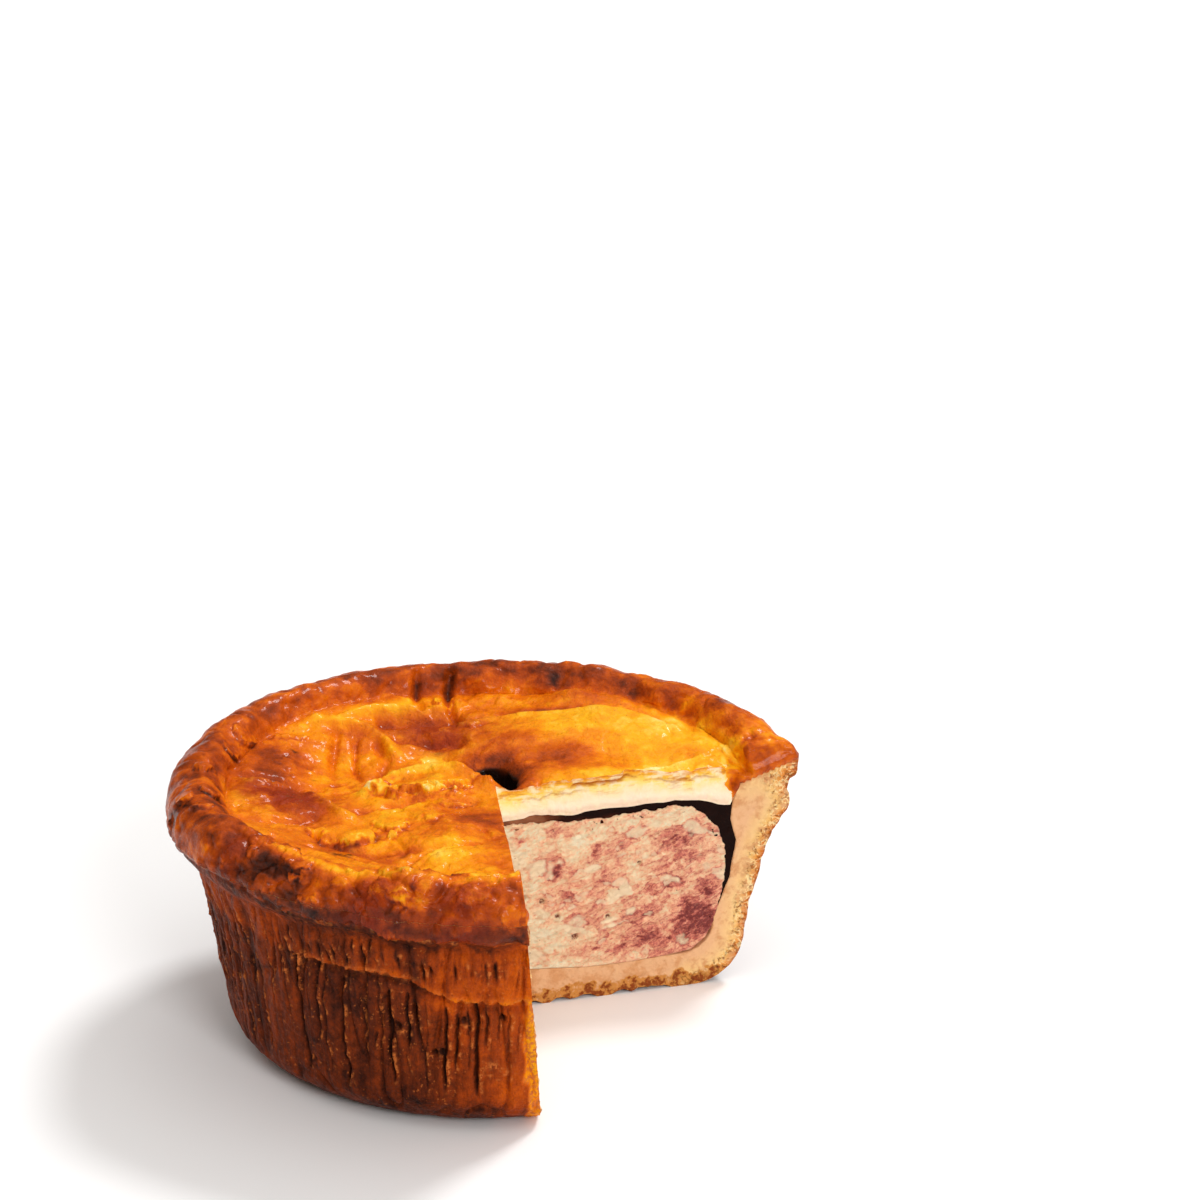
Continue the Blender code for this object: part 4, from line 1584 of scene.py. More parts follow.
    def masks(self, points: Array) -> dict[str, Array]:
        """Works out how each place has baked, with painted light and shade mixed in.

        Args:
            points: points of the finished surface.

        Returns:
            Values from 0 to 1 by name.
        """
        x, y, z = points.T
        inner, _, wall = shares = self.shares(points)
        bake_and_shading = self.mixed(shares, points, self.flat_bake_and_shading, self.rim_bake_and_shading, self.wall_bake_and_shading)
        # Painted light and shade: the lid's top is lighter where its relief noise rises and darker in
        # its hollows.
        relief_light_and_shade = -0.6 * self.grain.soft(points + 31, 5.2) - 0.5 * self.grain.soft(points, 2.6)
        bake_and_shading += 0.1 * inner * relief_light_and_shade
        # Painted shade in the pressed creases, and painted light on the raised ones.
        bake_and_shading -= 0.11 * (1 - wall) * total(self.creases, x, y)
        tear = self.tear(points)
        for plate in self.plates:
            reach = 1 - plate.reach(x, y) + tear
            body, brink = ease(reach / 0.3), hump(reach, 0.19, 0.08)
            top = (1 - wall) * self.front_share(plate, y)
            bake_and_shading -= top * plate.amount * (0.08 * body + 0.17 * brink)
            # Painted shadow just outside the lifted front edge of each flake.
            bake_and_shading += 0.18 * top * hump(reach, 0.01, 0.09)
        lip = self.hole.reach(x, y)
        flat = self.hole_level + self.form.lid_lift(x, y)
        # Painted shade down the inside of the steam hole.
        down = ease((flat - z) / 2.5) * fall(lip, 1.15, 0.15)
        # Painted shade inside the wall's cracks.
        crack = 0.6 * rise(self.share_out(wall, points, self.crack_depth), 0.7, 0.6)
        azimuth = self.azimuth(points)
        # Painted shadow in the gap under the front of the rim.
        under = z - self.along(self.edge_line, azimuth)
        gap = 0.8 * hump(under, -0.5, 0.5) * rise(azimuth, 214, 10)
        gap *= fall(azimuth, 257, 6) * rise(self.grain.soft(points, 5), -0.4, 0.5)
        return {
            "bake_and_shading": np.minimum(bake_and_shading, 0.94),
            "blush_and_shade": (1 - wall) * total(self.blushes, x, y),
            "crumb": self.share_out(wall, points, self.crumbs),
            "pit_shade": down + crack + gap + (1 - wall) * total(self.pits, x, y),
        }


@dataclass
class Layer:
    """What every layer of the pie has: a form, a name, finishes and the node it stands for."""

    form: PieForm
    unit: float

    name: ClassVar[str]
    slot: ClassVar[Slot]

    def finishes(self) -> list[Finish]:
        """The layer's finishes, in the order of their numbers."""
        raise NotImplementedError

    def gather(self) -> Gathered:
        """The layer's points, triangles, numbers of their finishes, and masks."""
        raise NotImplementedError

    def beside_cut(self, points: Array, reach: float) -> Array:
        """Whether each point lies within reach of a face of the cut, in mm."""
        cut = self.form.cut_at(points[:, 2])
        looks = [self.form.outside(side)[:2] for side in Side]
        gaps = [np.abs(((points[:, :2] - cut) * look).sum(axis=1)) for look in looks]
        return np.minimum(*gaps) < reach

    def face_distance(self, points: Array, line: Array, span: float = 8.0) -> Array:
        """Distance of points beside the cut from a line on its faces, against span.

        Args:
            points: all points of a layer.
            line: points of the line.
            span: distance in mm that counts as 1, which is also the most.

        Returns:
            One value for each point, 1 for those away from the cut.
        """
        close = self.beside_cut(points, 1.4)
        depth = np.ones(len(points))
        depth[close] = distance_to(line, points[close]) / span
        return np.minimum(depth, 1)

    def dress(self) -> bpy.types.Object:
        """Makes the piece and hides the part that it replaces.

        Returns:
            The piece.
        """
        points, faces, slots, masks = self.gather()
        finishes = [finish.make(self.unit) for finish in self.finishes()]
        piece = make_object(self.name, points, faces, slots, masks, finishes, self.unit)
        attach(piece, "root")
        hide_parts(self.slot.value)
        return piece


@dataclass
class LidCrust(Layer):
    """The lid: its uneven top, the rolled rim's upper half, the seam and the underside.

    Each split between the layers has its depth under the skin, sway, width, where it starts and
    ends, over what length it fades, and how deep it goes.
    """

    skin: CrustSkin
    name: ClassVar[str] = "baked_lid"
    slot: ClassVar[Slot] = Slot.LID
    columns: int = 600
    flat_radius: float = 60.0
    fine_spacing: float = 0.52
    groove: Pair = (65.4, 58.25)
    roll_start: float = 155.0
    bank_foot: Pair = (65.4, 63.2)
    bank_size: Pair = (6.6, 5.8)
    seam_height: float = 60.1
    top_line: Line = (
        (0, 60), (40, 60), (48, 59.8), (55, 59.4), (61, 58.6), (65.5, 58.2), (90, 58.2),
    )
    under_line: Line = (
        (0, 51.2), (12, 51.8), (24, 51.1), (36, 51.6), (48, 52), (54, 51.1), (58.5, 49.3), (61.7, 49),
        (63.4, 54.52), (72, 57.62), (79.8, 60.1), (90, 63),
    )
    hole_narrowing: float = 0.75
    splits: tuple[tuple[float, ...], ...] = (
        (1.9, 1, 0.38, 18, 38, 4, 0.9), (2.6, -1, 0.28, 40, 60, 4, 0.5), (3.6, 1, 0.25, 6, 26, 6, 0.4),
    )

    def top_height(self, x: Array, y: Array) -> Array:
        """Height of the lid's top inside the rim, without its fine relief."""
        radius = self.form.mean_radius(x, y, 60)
        mean = radius / np.maximum(np.hypot(x, y), 1e-6)
        height = np.interp(radius, *zip(*self.top_line))
        height += self.form.fill_at(azimuth_of(x, y)) * self.form.fill_share(radius)
        return height + self.form.lid_lift(x * mean, y * mean)

    def under_height(self, x: Array, y: Array) -> Array:
        """Height of the lid's underside."""
        radius = self.form.mean_radius(x, y, 56)
        mean_height = np.interp(radius, *zip(*self.under_line))
        mean = radius / np.maximum(np.hypot(x, y), 1e-6)
        lifted = self.form.lift(x * mean, y * mean, radius, mean_height)
        wave = 0.55 * self.skin.grain.rough(joined(x, y, mean_height), 6)
        return mean_height + lifted + wave * (1 - rise(radius, 58, 4))

    def top(self, x: Array, y: Array) -> Array:
        """Height of the finished top inside the rim."""
        smooth = self.top_height(x, y)
        return smooth + self.skin.relief(joined(x, y, smooth))

    def rim_rows(self, sweep: Sweep) -> tuple[Array, Array]:
        """Mean radius and height of the rows from the flat of the lid over the rim.

        Args:
            sweep: the columns that the rows run through.

        Returns:
            Radius and height, with a row for each step and a column for each turn.
        """
        start = (self.flat_radius, float(np.interp(self.flat_radius, *zip(*self.top_line))))
        slope = fine([start, self.groove], self.fine_spacing)
        turns = np.linspace(self.roll_start, 2, 48)
        roll = np.array(self.form.roll(self.roll_start, 2, 47))
        steep = fine([self.groove, tuple(roll[0])], 0.8)[1:-1]
        grooved = np.concatenate([slope, steep, roll, [(self.form.seam_radius, self.seam_height)]])
        low = np.linspace(0, 0.12, len(steep) + 2)[1:-1]
        risen = 0.12 + 0.88 * np.clip((self.roll_start - turns) / 65, 0, 1)
        share = np.concatenate([low, risen])
        full = np.concatenate([np.ones(len(steep), dtype=bool), turns > 90])
        (foot_x, foot_z), (wide, tall) = self.bank_foot, self.bank_size
        bank = joined(foot_x + wide * share, foot_z + tall * np.sin(share * math.pi / 2))
        filled = grooved.copy()
        filled[len(slope) : -1][full] = bank[full]
        fill = self.form.fill_at(np.degrees(sweep.turns()))[None, :]
        share_in = self.form.fill_share(grooved[: len(slope), :1])
        rows = grooved[:, None, :] + (filled - grooved)[:, None, :] * (fill / 5)[..., None]
        rows[: len(slope), :, 1] += share_in * fill
        return rows[..., 0], rows[..., 1]

    def hole_ring(self, height: Surface, size: float) -> Array:
        """The ragged ring of the steam hole on one surface."""
        turn = np.linspace(0, 2 * math.pi, 72, endpoint=False)
        hole = self.skin.hole
        wobble = size * (1 + 0.06 * np.sin(3 * turn + 1) + 0.04 * np.sin(7 * turn))
        u, v = hole.along * wobble * np.cos(turn), hole.across * wobble * np.sin(turn)
        tilt = math.radians(hole.turn)
        x = hole.x + u * math.cos(tilt) - v * math.sin(tilt)
        y = hole.y + u * math.sin(tilt) + v * math.cos(tilt)
        return joined(x, y, height(x, y))

    def face_relief(self, skin: Array, under: Array, swell: float) -> Relief:
        """Gives how far the cut face of the lid stands proud.

        Args:
            skin: distance and height of the baked skin along the face.
            under: distance and height of the underside along the face.
            swell: how far the rim's end bulges.

        Returns:
            The relief.
        """
        grain = self.skin.grain

        def height(points: Array) -> Array:
            """Height of the detail on the face at each point."""
            along = self.form.along(points)
            above = points[..., 2] - np.interp(along, *under.T)
            below = np.interp(along, *skin.T) - points[..., 2]
            lip = 1.1 * hump(above, 2.2, 1.7) - 0.3 + swell * rise(along, 62.5, 3)
            layers = 0.42 * grain.rough(points * (0.35, 0.35, 2.2), 2.4)
            flaky = layers * fall(below, 4, 3)
            return lip + flaky - self.split(along, below) + 0.1 * grain.soft(points, 1.4)

        return height

    def split(self, along: Array, below: Array) -> Array:
        """Depth of the splits between the flaky layers of the cut lid, in mm."""
        wander = 0.5 * self.skin.grain.rough(joined(along, 0 * along, 0 * along), 5)
        depth = np.zeros(np.shape(along))
        for level, sway, width, start, end, fade, deep in self.splits:
            opening = bell((below - level - sway * wander) / width) * rise(along, start, 3)
            depth += deep * (opening * fall(along, end, fade))
        return depth

    def gather(self) -> Gathered:
        """The lid's points, triangles, numbers of their finishes, and masks."""
        shell, sweep = Shell(self.form), Sweep(self.form, self.columns)
        band, distance = sweep.band(*self.rim_rows(sweep), self.skin.relief, -1)
        shell.grid(band, 0)
        upper = self.hole_ring(self.top, 1)
        lower = self.hole_ring(self.under_height, self.hole_narrowing)
        top = shell.level_patch(band[0], self.top, self.fine_spacing, 0, 21, True, [upper])
        under = shell.level_patch(band[-1], self.under_height, 1.6, 1, 22, False, [lower])
        steps = np.linspace(0, 1, 14)[:, None, None]
        tube = upper[None] * (1 - steps) + lower[None] * steps
        tube = np.concatenate([tube, tube[:, :1]], axis=1)
        shell.grid(tube[:, ::-1], 0)
        lines = []
        for side in Side:
            rim = side_line(band, distance, side)
            edge = edge_line(top[side][0, 1], under[side][0, 1], 0.45)
            skin = np.concatenate([top[side], rim[1:]])
            outline = np.concatenate([skin, under[side][-2::-1], edge[-2:0:-1]])
            swell = 1.4 if side is Side.FAR else 0
            relief = self.face_relief(self.rising(skin), under[side], swell)
            shell.cap(side, outline, 0.38, relief, 1, 23)
            lines.append(skin)
        points, faces, slots = shell.welded()
        masks = {**self.skin.masks(points), **self.face_masks(points, lines)}
        end = self.rim_end(points, masks["depth"]) * self.beside_cut(points, 3)
        ragged = self.skin.grain.rough(points + 9, 5, 4, 0.6)
        browned = np.unique(faces[(slots[:, None] == 1) & (end[faces] > 0)])
        masks["bake_and_shading"][browned] = 0.34 + 0.24 * end[browned] + 0.16 * ragged[browned]
        slots[(slots == 1) & (end[faces].min(axis=1) > 0)] = 0
        return points, faces, slots, masks

    def rising(self, line: Array) -> Array:
        """A line along a face with its distances made to rise all the way."""
        return np.column_stack(
            [np.maximum.accumulate(line[:, 0]) + 1e-6 * np.arange(len(line)), line[:, 1]]
        )

    def rim_end(self, points: Array, depth: Array) -> Array:
        """Where the rim's ends beside the cut have browned, from 0 to 1."""
        radius, ragged = radius_of(points), self.skin.grain.rough(points, 3)
        inner = ease((radius - 63.2 - 1.2 * ragged) / 2)
        reach = 0.6 + rise(radius, 63.6, 2.4)
        return inner * ease((reach - depth + 0.14 * ragged) / 0.6)

    def face_masks(self, points: Array, skins: Sequence[Array]) -> dict[str, Array]:
        """Depth under the skin and the colour of the splits, on the cut faces.

        Args:
            points: points of the finished mesh.
            skins: distance and height of the baked skin along each face.

        Returns:
            Values from 0 to 1 by name.
        """
        form = self.form
        stood = [form.stand(form.angle(side), *skin.T) for side, skin in zip(Side, skins)]
        depth = self.face_distance(points, np.concatenate(stood))
        depth *= np.where(points[:, 1] < 0, 0.5, 1)
        along = form.along(points)
        below = np.interp(along, *self.rising(skins[0]).T) - points[:, 2]
        return {"depth": depth, "brown": 0 * depth, "split": 1.2 * self.split(along, below)}

    def finishes(self) -> list[Finish]:
        """The glazed skin and the cut pastry."""
        dough = shades(
            (0, 220, 122, 12), (0.09, 242, 166, 30), (0.22, 252, 204, 78), (0.4, 253, 222, 128),
            (0.54, 253, 228, 168), (0.8, 253, 234, 204), (1, 250, 222, 194),
        )
        return [GlazedCrust(), CutPastry("lid_crumb", dough, 0.8, 0, srgb(253, 236, 200))]


@dataclass
class CaseCrust(Layer):
    """The case: floor, inner wall, seam, the rolled rim's lower half, outer wall and base."""

    skin: CrustSkin
    name: ClassVar[str] = "baked_case"
    slot: ClassVar[Slot] = Slot.CASE
    columns: int = 600
    inner_line: Line = (
        (62.2, 29), (63.2, 39), (61.8, 45), (62, 49), (63.5, 54.38), (72, 57.5),
    )
    floor_line: Line = (
        (0, 10.2), (8, 10.2), (16, 9.6), (26, 8.6), (38, 8.6), (46, 9), (90, 9),
    )
    seam_height: float = 60.05
    outer_line: Line = ((73.8, 51.5), (71.8, 43), (69.8, 32), (68, 21))
    grain: Grain = field(default_factory=lambda: Grain(23))

    def inside_profile(self) -> Array:
        """The profile from the floor up the inside to the seam's outer edge."""
        corner = arc((50.8, 17), (8, 8), -90, 8, 6)
        return fine([*corner, *self.inner_line, (self.form.seam_radius, self.seam_height)], 2.6)

    def outside_profile(self) -> Array:
        """The profile from the seam's outer edge over the roll and down to the base."""
        roll = self.form.roll(-12, -62, 8)
        corner = arc((53.8, 13), (13, 13), 4, -90, 20)
        seam = (self.form.seam_radius, self.seam_height)
        return fine([seam, *roll, *self.outer_line, *corner], 0.68)

    def inner_relief(self, points: Array) -> Array:
        """Gentle waves inside the case."""
        return 0.3 * self.grain.rough(points, 7, 2)

    def outer_relief(self, points: Array) -> Array:
        """The surface detail outside, which fades out at the base."""
        return self.skin.relief(points) * ease(points[..., 2] / 2.5)

    def floor(self, x: Array, y: Array) -> Array:
        """Height of the floor inside, a little thicker in the middle."""
        return np.interp(np.hypot(x, y), *zip(*self.floor_line))

    def base(self, x: Array, y: Array) -> Array:
        """Height of the base, which crumbles up beside the far face of the cut."""
        far = self.form.outside(Side.FAR)
        away = np.abs((x - self.form.cut_x) * far[0] + (y - self.form.cut_y) * far[1])
        ragged = self.grain.rough(joined(x, y, 0 * x), 3.2)
        return 1.1 * rise(ragged, -0.2, 0.5) * fall(away, 1.6, 1.4) * ease(x / 4)

    def face_relief(self, points: Array) -> Array:
        """How far the cut face of the case stands proud."""
        low = fall(points[..., 2], 5.2, 1.5)
        crumbly = self.grain.rough(points, 2)
        lumps = 0.45 * self.grain.soft(points, 7) + 0.2 * self.grain.soft(points, 3.5)
        outer = ease((radius_of(points) - 60 - 0.16 * points[..., 2]) / 2.5)
        return lumps + (0.12 + 0.35 * np.maximum(low, 0.8 * outer)) * crumbly

    def gather(self) -> Gathered:
        """The case's points, triangles, numbers of their finishes, and masks."""
        form, shell, sweep = self.form, Shell(self.form), Sweep(self.form, self.columns)
        inner, outer = self.inside_profile(), self.outside_profile()
        inside, within = sweep.band(inner[:, :1], inner[:, 1:], self.inner_relief)
        outside, without = sweep.band(outer[:, :1], outer[:, 1:], self.outer_relief, 0)
        outside[-1, :, 2] = self.base(outside[-1, :, 0], outside[-1, :, 1])
        inside[-1], within[-1] = outside[0], without[0]
        shell.grid(inside, 2)
        shell.grid(outside, 0)
        floor = shell.level_patch(inside[0], self.floor, 4, 2, 31, True)
        base = shell.level_patch(outside[-1], self.base, 1.8, 1, 32, False)
        skins = []
        for side in Side:
            up, down = side_line(inside, within, side), side_line(outside, without, side)
            edge = edge_line(floor[side][0, 1], base[side][0, 1], 0.45)
            outline = [floor[side], up[1:], down[1:], base[side][-2::-1], edge[-2:0:-1]]
            shell.cap(side, np.concatenate(outline), 0.42, self.face_relief, 2, 33)
            skins.append(form.stand(form.angle(side), *down.T))
        points, faces, slots = shell.welded()
        middle = points[faces].mean(axis=1)
        under = middle[:, 2] - self.skin.along(self.skin.edge_line, self.skin.azimuth(middle))
        slots[(slots == 0) & (under < 0)] = 1
        masks = self.skin.masks(points)
        crumbly = self.grain.rough(points, 2.6)
        masks["depth"] = self.face_distance(points, np.concatenate(skins))
        masks["depth"] *= 1 - 0.45 * rise(points[:, 2], 46, 10)
        masks["brown"] = ease((4.9 - points[:, 2] + crumbly) / 1.4)
        masks["brown"] *= 0.5 + 0.5 * rise(crumbly, -0.3, 0.6)
        masks["split"] = 0 * crumbly
        return points, faces, slots, masks

    def finishes(self) -> list[Finish]:
        """The glazed rim, the dry wall and the cut pastry."""
        tint = srgb(208, 112, 50)
        wall = GlazedCrust("wall_crust", 0.03, 0.06, 0.6, 0.34, 0.16, 0.12, 0.5, crumb=tint)
        dough = shades(
            (0, 164, 74, 18), (0.07, 206, 112, 38), (0.17, 228, 148, 66), (0.32, 240, 190, 112),
            (0.54, 240, 196, 134), (1, 230, 178, 132),
        )
        crumb = CutPastry("case_crumb", dough, 0.2, 1, srgb(212, 150, 98))
        return [GlazedCrust("glazed_rim"), wall, crumb]


@dataclass
class Loaf(Layer):
    """A layer swept from one face of the cut to the other, with its two ends filled."""

    line: Line = ()
    columns: int = 60
    spacing: float = 1.0
    face_spacing: float = 1.0
    seed: int = 1

    def relief(self, points: Array) -> Array:
        """Unevenness of the outside: none unless a layer says otherwise."""
        return np.zeros(points.shape[:-1])

    def face_relief(self, points: Array) -> Array:
        """How far the cut face stands proud."""
        raise NotImplementedError

    def masks(self, points: Array) -> dict[str, Array]:
        """Values from 0 to 1 at the points of the finished mesh, by name."""
        raise NotImplementedError

    def gather(self) -> Gathered:
        """The layer's points, triangles, numbers of their finishes, and masks."""
        shell = Shell(self.form)
        profile = fine(self.line, self.spacing)
        sweep = Sweep(self.form, self.columns)
        band, distance = sweep.band(profile[:, :1], profile[:, 1:], self.relief)
        shell.grid(band, 0)
        for side in Side:
            line = side_line(band, distance, side)
            edge = edge_line(line[0, 1], line[-1, 1], self.spacing)
            outline = np.concatenate([line, edge[-2:0:-1]])
            shell.cap(side, outline, self.face_spacing, self.face_relief, 0, self.seed)
        points, faces, slots = shell.welded()
        return points, faces, slots, self.masks(points)


@dataclass
class PorkFilling(Loaf):
    """The loaf of chopped pork, cut through where the wedge was.

    On the cut faces, a chunk has its distance and height, two half sizes, a turn, and how white
    and how dark it is; a pore has its distance, height and size.
    """

    name: ClassVar[str] = "chopped_pork_filling"
    slot: ClassVar[Slot] = Slot.FILLING
    spacing: float = 0.45
    face_spacing: float = 0.38
    seed: int = 41
    line: Line = (
        (0, 49.6), (8, 49.8), (16, 49.6), (28, 48.9), (36, 49.2), (42, 49.8), (48, 50.2), (52, 49.6),
        (55.4, 47.2), (57.6, 43.4), (59.6, 38.6), (60.6, 32), (60.6, 27), (59.4, 21.4), (58.3, 17),
        (56.6, 12.9), (53.2, 10), (46, 9.15), (38, 8.75), (26, 8.75), (16, 9.75), (8, 10.35),
        (0, 10.35),
    )
    chunks: tuple[tuple[float, ...], ...] = (
        (8.8, 37.5, 4.2, 3.6, 20, 0.9, 0.1), (14.3, 36.3, 2.2, 2.6, 0, 0, 0.35),
        (23.1, 35.7, 3.6, 1.6, 10, 0.9, 0), (17.5, 45, 3, 1.6, 60, 0, 0.3),
        (30, 28.2, 6.5, 2.6, 24, 1, 0), (33, 23, 3.4, 1.6, 15, 0.8, 0), (9.5, 25, 5, 1.8, -25, 0.9, 0),
        (16.5, 19.6, 7, 1.8, -16, 1, 0), (27, 19.4, 5, 1.2, 10, 0.8, 0),
        (26.5, 20.8, 4.5, 1.4, 12, 0.8, 0), (40.9, 46, 3.2, 1.4, 10, 1, 0),
        (53.9, 33, 3, 2.4, 0, 0.5, 0), (49.5, 19, 10.5, 8.5, -20, 0, 0.46), (34, 14.5, 9, 4, 8, 0, 0.3),
        (54, 25.5, 4, 3, 0, 0, 0.2), (6, 13.5, 5, 2.6, 5, 0.9, 0), (24.5, 41, 4.5, 2.6, 15, 0, 0.26),
        (33.5, 41.5, 3.5, 2.2, 20, 0, 0.22), (3.5, 40, 3, 4.5, 0, 0.8, 0), (5, 46, 4, 1.6, 0, 0, 0.3),
        (22.5, 13.5, 1.6, 0.9, 0, 0, 0.5), (46, 40, 8, 4, 20, 0, 0.12), (12, 42, 4, 2, 30, 0.5, 0),
        (43, 31, 3, 1.5, 20, 0.7, 0), (21, 29, 2.4, 1.2, 10, 0.6, 0), (38, 37.5, 2.2, 1.2, 25, 0.7, 0),
    )
    pores: tuple[Triple, ...] = (
        (17.4, 17.3, 1), (26.5, 22, 0.7), (13.2, 23.7, 0.7), (9.5, 28.3, 0.8), (5, 30, 0.6),
        (36, 35.8, 0.5),
    )
    grain: Grain = field(default_factory=lambda: Grain(37))

    def relief(self, points: Array) -> Array:
        """Unevenness of the loaf's outside."""
        high = rise(points[..., 2], 12, 4)
        return high * (0.6 * self.grain.rough(points, 3.6, 4, 0.65) + 0.1)

    def from_pores(self, points: Array) -> list[Array]:
        """Distance of each point from the middle of every pore, against the pore's size."""
        along, level = self.form.along(points), points[..., 2]
        return [np.hypot(along - far, level - high) / size for far, high, size in self.pores]

    def face_relief(self, points: Array) -> Array:
        """How far the cut face stands proud."""
        lumps, gap, _ = self.grain.cells(points * (0.8, 0.8, 1.3), 3.4)
        height = 0.3 * self.grain.rough(points, 3, 4, 0.65) - 0.1 * lumps
        height -= 0.3 * bell(gap / 0.1)
        for reach in self.from_pores(points):
            height -= 1.2 * bell(reach)
        return height

    def masks(self, points: Array) -> dict[str, Array]:
        """Works out lean, fat and pits at each point, with painted shade in the pits and a painted
        shadow on the lean.

        Args:
            points: points of the finished mesh.

        Returns:
            Values from 0 to 1 by name.
        """
        grain = self.grain
        bend = [grain.soft(points + shift, 3) for shift in (0, 50, 100)]
        warped = points + 1.2 * np.stack(bend, axis=-1)
        _, gap, owner = grain.cells(warped * (0.7, 0.7, 1.1), 4.4)
        _, rim, small = grain.cells(warped * (0.7, 0.7, 1.2), 1.9)
        lean = 0.08 + 0.38 * owner + 0.26 * small + 0.18 * grain.rough(points, 12, 2)
        fat = np.where(owner > 0.87, 0.62, 0) * ease(gap / 0.35)
        fat = np.maximum(fat, np.where(small > 0.86, 0.55, 0) * ease(rim / 0.3))
        along, level = self.form.along(points), points[..., 2]
        tear = 0.3 * grain.rough(points, 2.4)
        for *oval, white, dark in self.chunks:
            shape = Spot(*oval, 1).ragged(along, level, tear, 0.9)
            fat = np.maximum(fat * (1 - shape * (dark > 0)), 1.05 * white * shape)
            lean += dark * shape
        # Painted shade: the small pits and the pores of the cut face are darkened.
        pit_shade = rise(grain.soft(points + 80, 1.6), 0.85, 0.08)
        for reach in self.from_pores(points):
            pit_shade += fall(reach, 1.1, 0.4)
        # Painted shadow of the missing slice, which makes the lean darker low and far from the cut's
        # edge.
        slice_shadow = Spot(48, 18, 24, 15, -10, 1).soft(along, level)
        lean = lean + 0.32 * slice_shadow - 0.18 * fall(along, 14, 10)
        pale = fall(level, 13, 3) * fall(along, 30, 8)
        return {"lean": lean - 0.12 * pale, "fat": fat, "pit_shade": pit_shade}

    def finishes(self) -> list[Finish]:
        """The chopped pork."""
        return [ChoppedPork()]


@dataclass
class Jelly(Loaf):
    """The set jelly that fills the space between the filling and the crust."""

    name: ClassVar[str] = "set_jelly_layer"
    slot: ClassVar[Slot] = Slot.JELLY
    spacing: float = 0.9
    face_spacing: float = 0.6
    seed: int = 51
    line: Line = (
        (0, 52.2), (12, 52.6), (24, 51.9), (36, 52.4), (48, 52.6), (54, 51.8), (58.8, 50.1),
        (62.6, 49.3), (62.2, 45), (63.6, 39), (62.6, 29), (60.6, 21.4), (59.4, 18), (57.6, 18),
        (58.6, 21.4), (59.8, 27), (59.8, 32), (58.8, 38.3), (56.8, 43), (54.6, 46.6), (52, 48.4),
        (42, 47.6), (30, 47.7), (16, 48.4), (0, 48.4),
    )
    grain: Grain = field(default_factory=lambda: Grain(53))

    def face_relief(self, points: Array) -> Array:
        """How far the cut face stands proud."""
        return 0.16 * self.grain.rough(points, 4, 2)

    def masks(self, points: Array) -> dict[str, Array]:
        """Where the jelly is thin enough to look paler, from 0 to 1."""
        radius = radius_of(points)
        thin = 0.8 * (1 - rise(radius, 12, 14))
        low = ease((50.4 - points[:, 2] + 0.5 * self.grain.soft(points, 4)) / 1.2)
        return {"thin": np.maximum(thin, 0.45 * low * (1 - rise(radius, 44, 6)))}

    def finishes(self) -> list[Finish]:
        """The jelly."""
        return [SetJelly()]


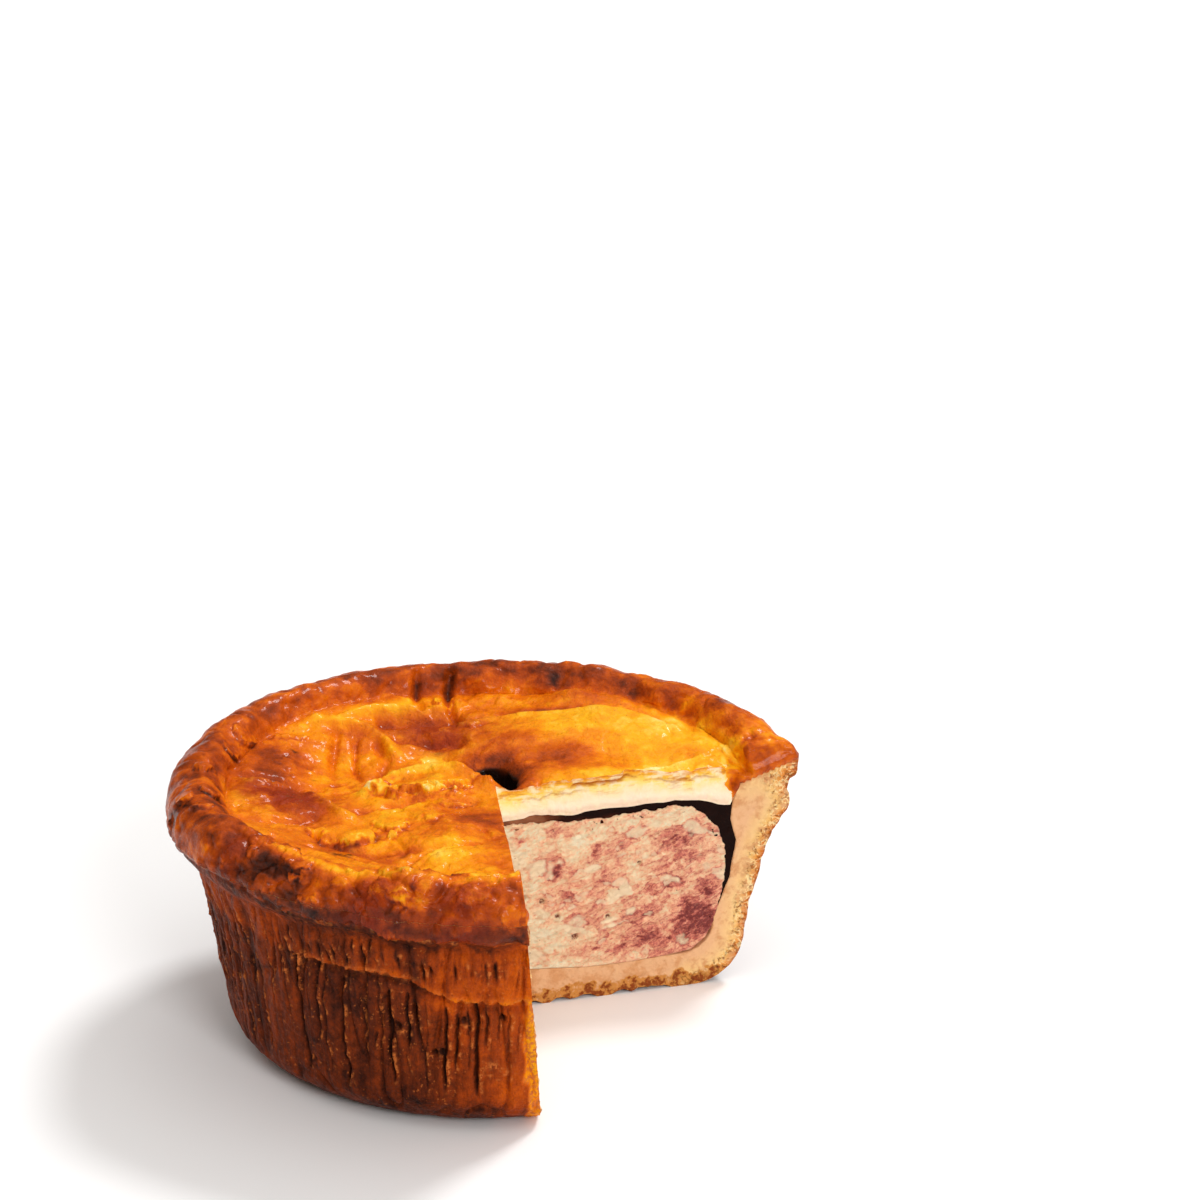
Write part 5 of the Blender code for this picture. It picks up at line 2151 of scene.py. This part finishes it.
@dataclass
class Studio:
    """Camera, soft lights and a plain pale floor."""

    unit: float
    camera_place: Triple = (27.6, -943.9, 443.7)
    camera_tilt: float = 70.64
    lens: float = 122.0
    floor_size: float = 40000.0
    sky: float = 0.19
    sky_tint: Triple = (1, 0.88, 0.76)
    lamps: tuple[tuple[str, Triple, float, float], ...] = (
        ("key_light", (0.5, 0.55, 1.05), 14, 1.5),
        ("front_light", (0.45, -1, 0.55), 20, 1.25),
        ("over_light", (0.1, -0.1, 1), 104, 1.57),
    )

    def camera(self) -> None:
        """Sets up the camera."""
        data = bpy.data.cameras.new("studio_camera")
        data.lens = self.lens
        data.sensor_width = 36
        camera = bpy.data.objects.new("studio_camera", data)
        camera.location = [value * self.unit for value in self.camera_place]
        camera.rotation_euler = (math.radians(self.camera_tilt), 0, 0)
        bpy.context.scene.collection.objects.link(camera)
        bpy.context.scene.camera = camera

    def floor(self) -> None:
        """Lays the floor."""
        half = self.floor_size / 2
        corners = np.array([(-half, -half, 0), (half, -half, 0), (half, half, 0), (-half, half, 0)])
        mesh = bpy.data.meshes.new("studio_floor")
        mesh.from_pydata((corners * self.unit).tolist(), [], [(0, 1, 2, 3)])
        floor = bpy.data.objects.new("studio_floor", mesh)
        material = bpy.data.materials.new("pale_floor")
        material.use_nodes = True
        surface = material.node_tree.nodes["Principled BSDF"]
        surface.inputs["Base Color"].default_value = (0.94, 0.94, 0.94, 1)
        surface.inputs["Roughness"].default_value = 0.9
        surface.inputs["Specular IOR Level"].default_value = 0
        mesh.materials.append(material)
        bpy.context.scene.collection.objects.link(floor)
        floor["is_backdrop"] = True

    def lamp(self, name: str, toward: Triple, spread: float, strength: float) -> None:
        """Hangs a broad, far light.

        Args:
            name: the light's name.
            toward: direction from the pie to the light.
            spread: how wide the light looks, in degrees.
            strength: its strength.
        """
        data = bpy.data.lights.new(name, "SUN")
        data.angle = math.radians(spread)
        data.energy = strength
        lamp = bpy.data.objects.new(name, data)
        lamp.rotation_mode = "QUATERNION"
        lamp.rotation_quaternion = Vector(toward).to_track_quat("Z", "Y")
        bpy.context.scene.collection.objects.link(lamp)

    def build(self) -> None:
        """Sets up the whole studio."""
        self.camera()
        self.floor()
        for lamp in self.lamps:
            self.lamp(*lamp)
        world = bpy.data.worlds.new("studio_sky")
        world.use_nodes = True
        back = world.node_tree.nodes["Background"]
        back.inputs["Color"].default_value = (*self.sky_tint, 1)
        back.inputs["Strength"].default_value = self.sky
        bpy.context.scene.world = world
        bpy.context.scene.view_settings.view_transform = "Standard"


def corners(bounds: Sequence[Sequence[float]]) -> list[list[float]]:
    """The two corners of a box as plain lists."""
    return [[float(value) for value in corner] for corner in bounds]


def main() -> None:
    """Builds the pie and its studio, one assembly after another."""
    logging.basicConfig(level=logging.INFO, format="%(message)s")
    cad_box = corners(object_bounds())
    unit = (cad_box[1][2] - cad_box[0][2]) / FORM_HEIGHT
    Studio(unit).build()
    form = PieForm()
    skin = CrustSkin(form)
    assemblies = (
        LidCrust(form, unit, skin),
        CaseCrust(form, unit, skin),
        PorkFilling(form, unit),
        Jelly(PieForm(inset=0.4), unit),
    )
    for assembly in assemblies:
        piece = assembly.dress()
        LOG.info("%s: %d triangles", piece.name, len(piece.data.polygons))
    bpy.context.view_layer.update()
    json.dumps({"cad": cad_box, "visual": corners(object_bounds())})


if __name__ == "__main__":
    main()
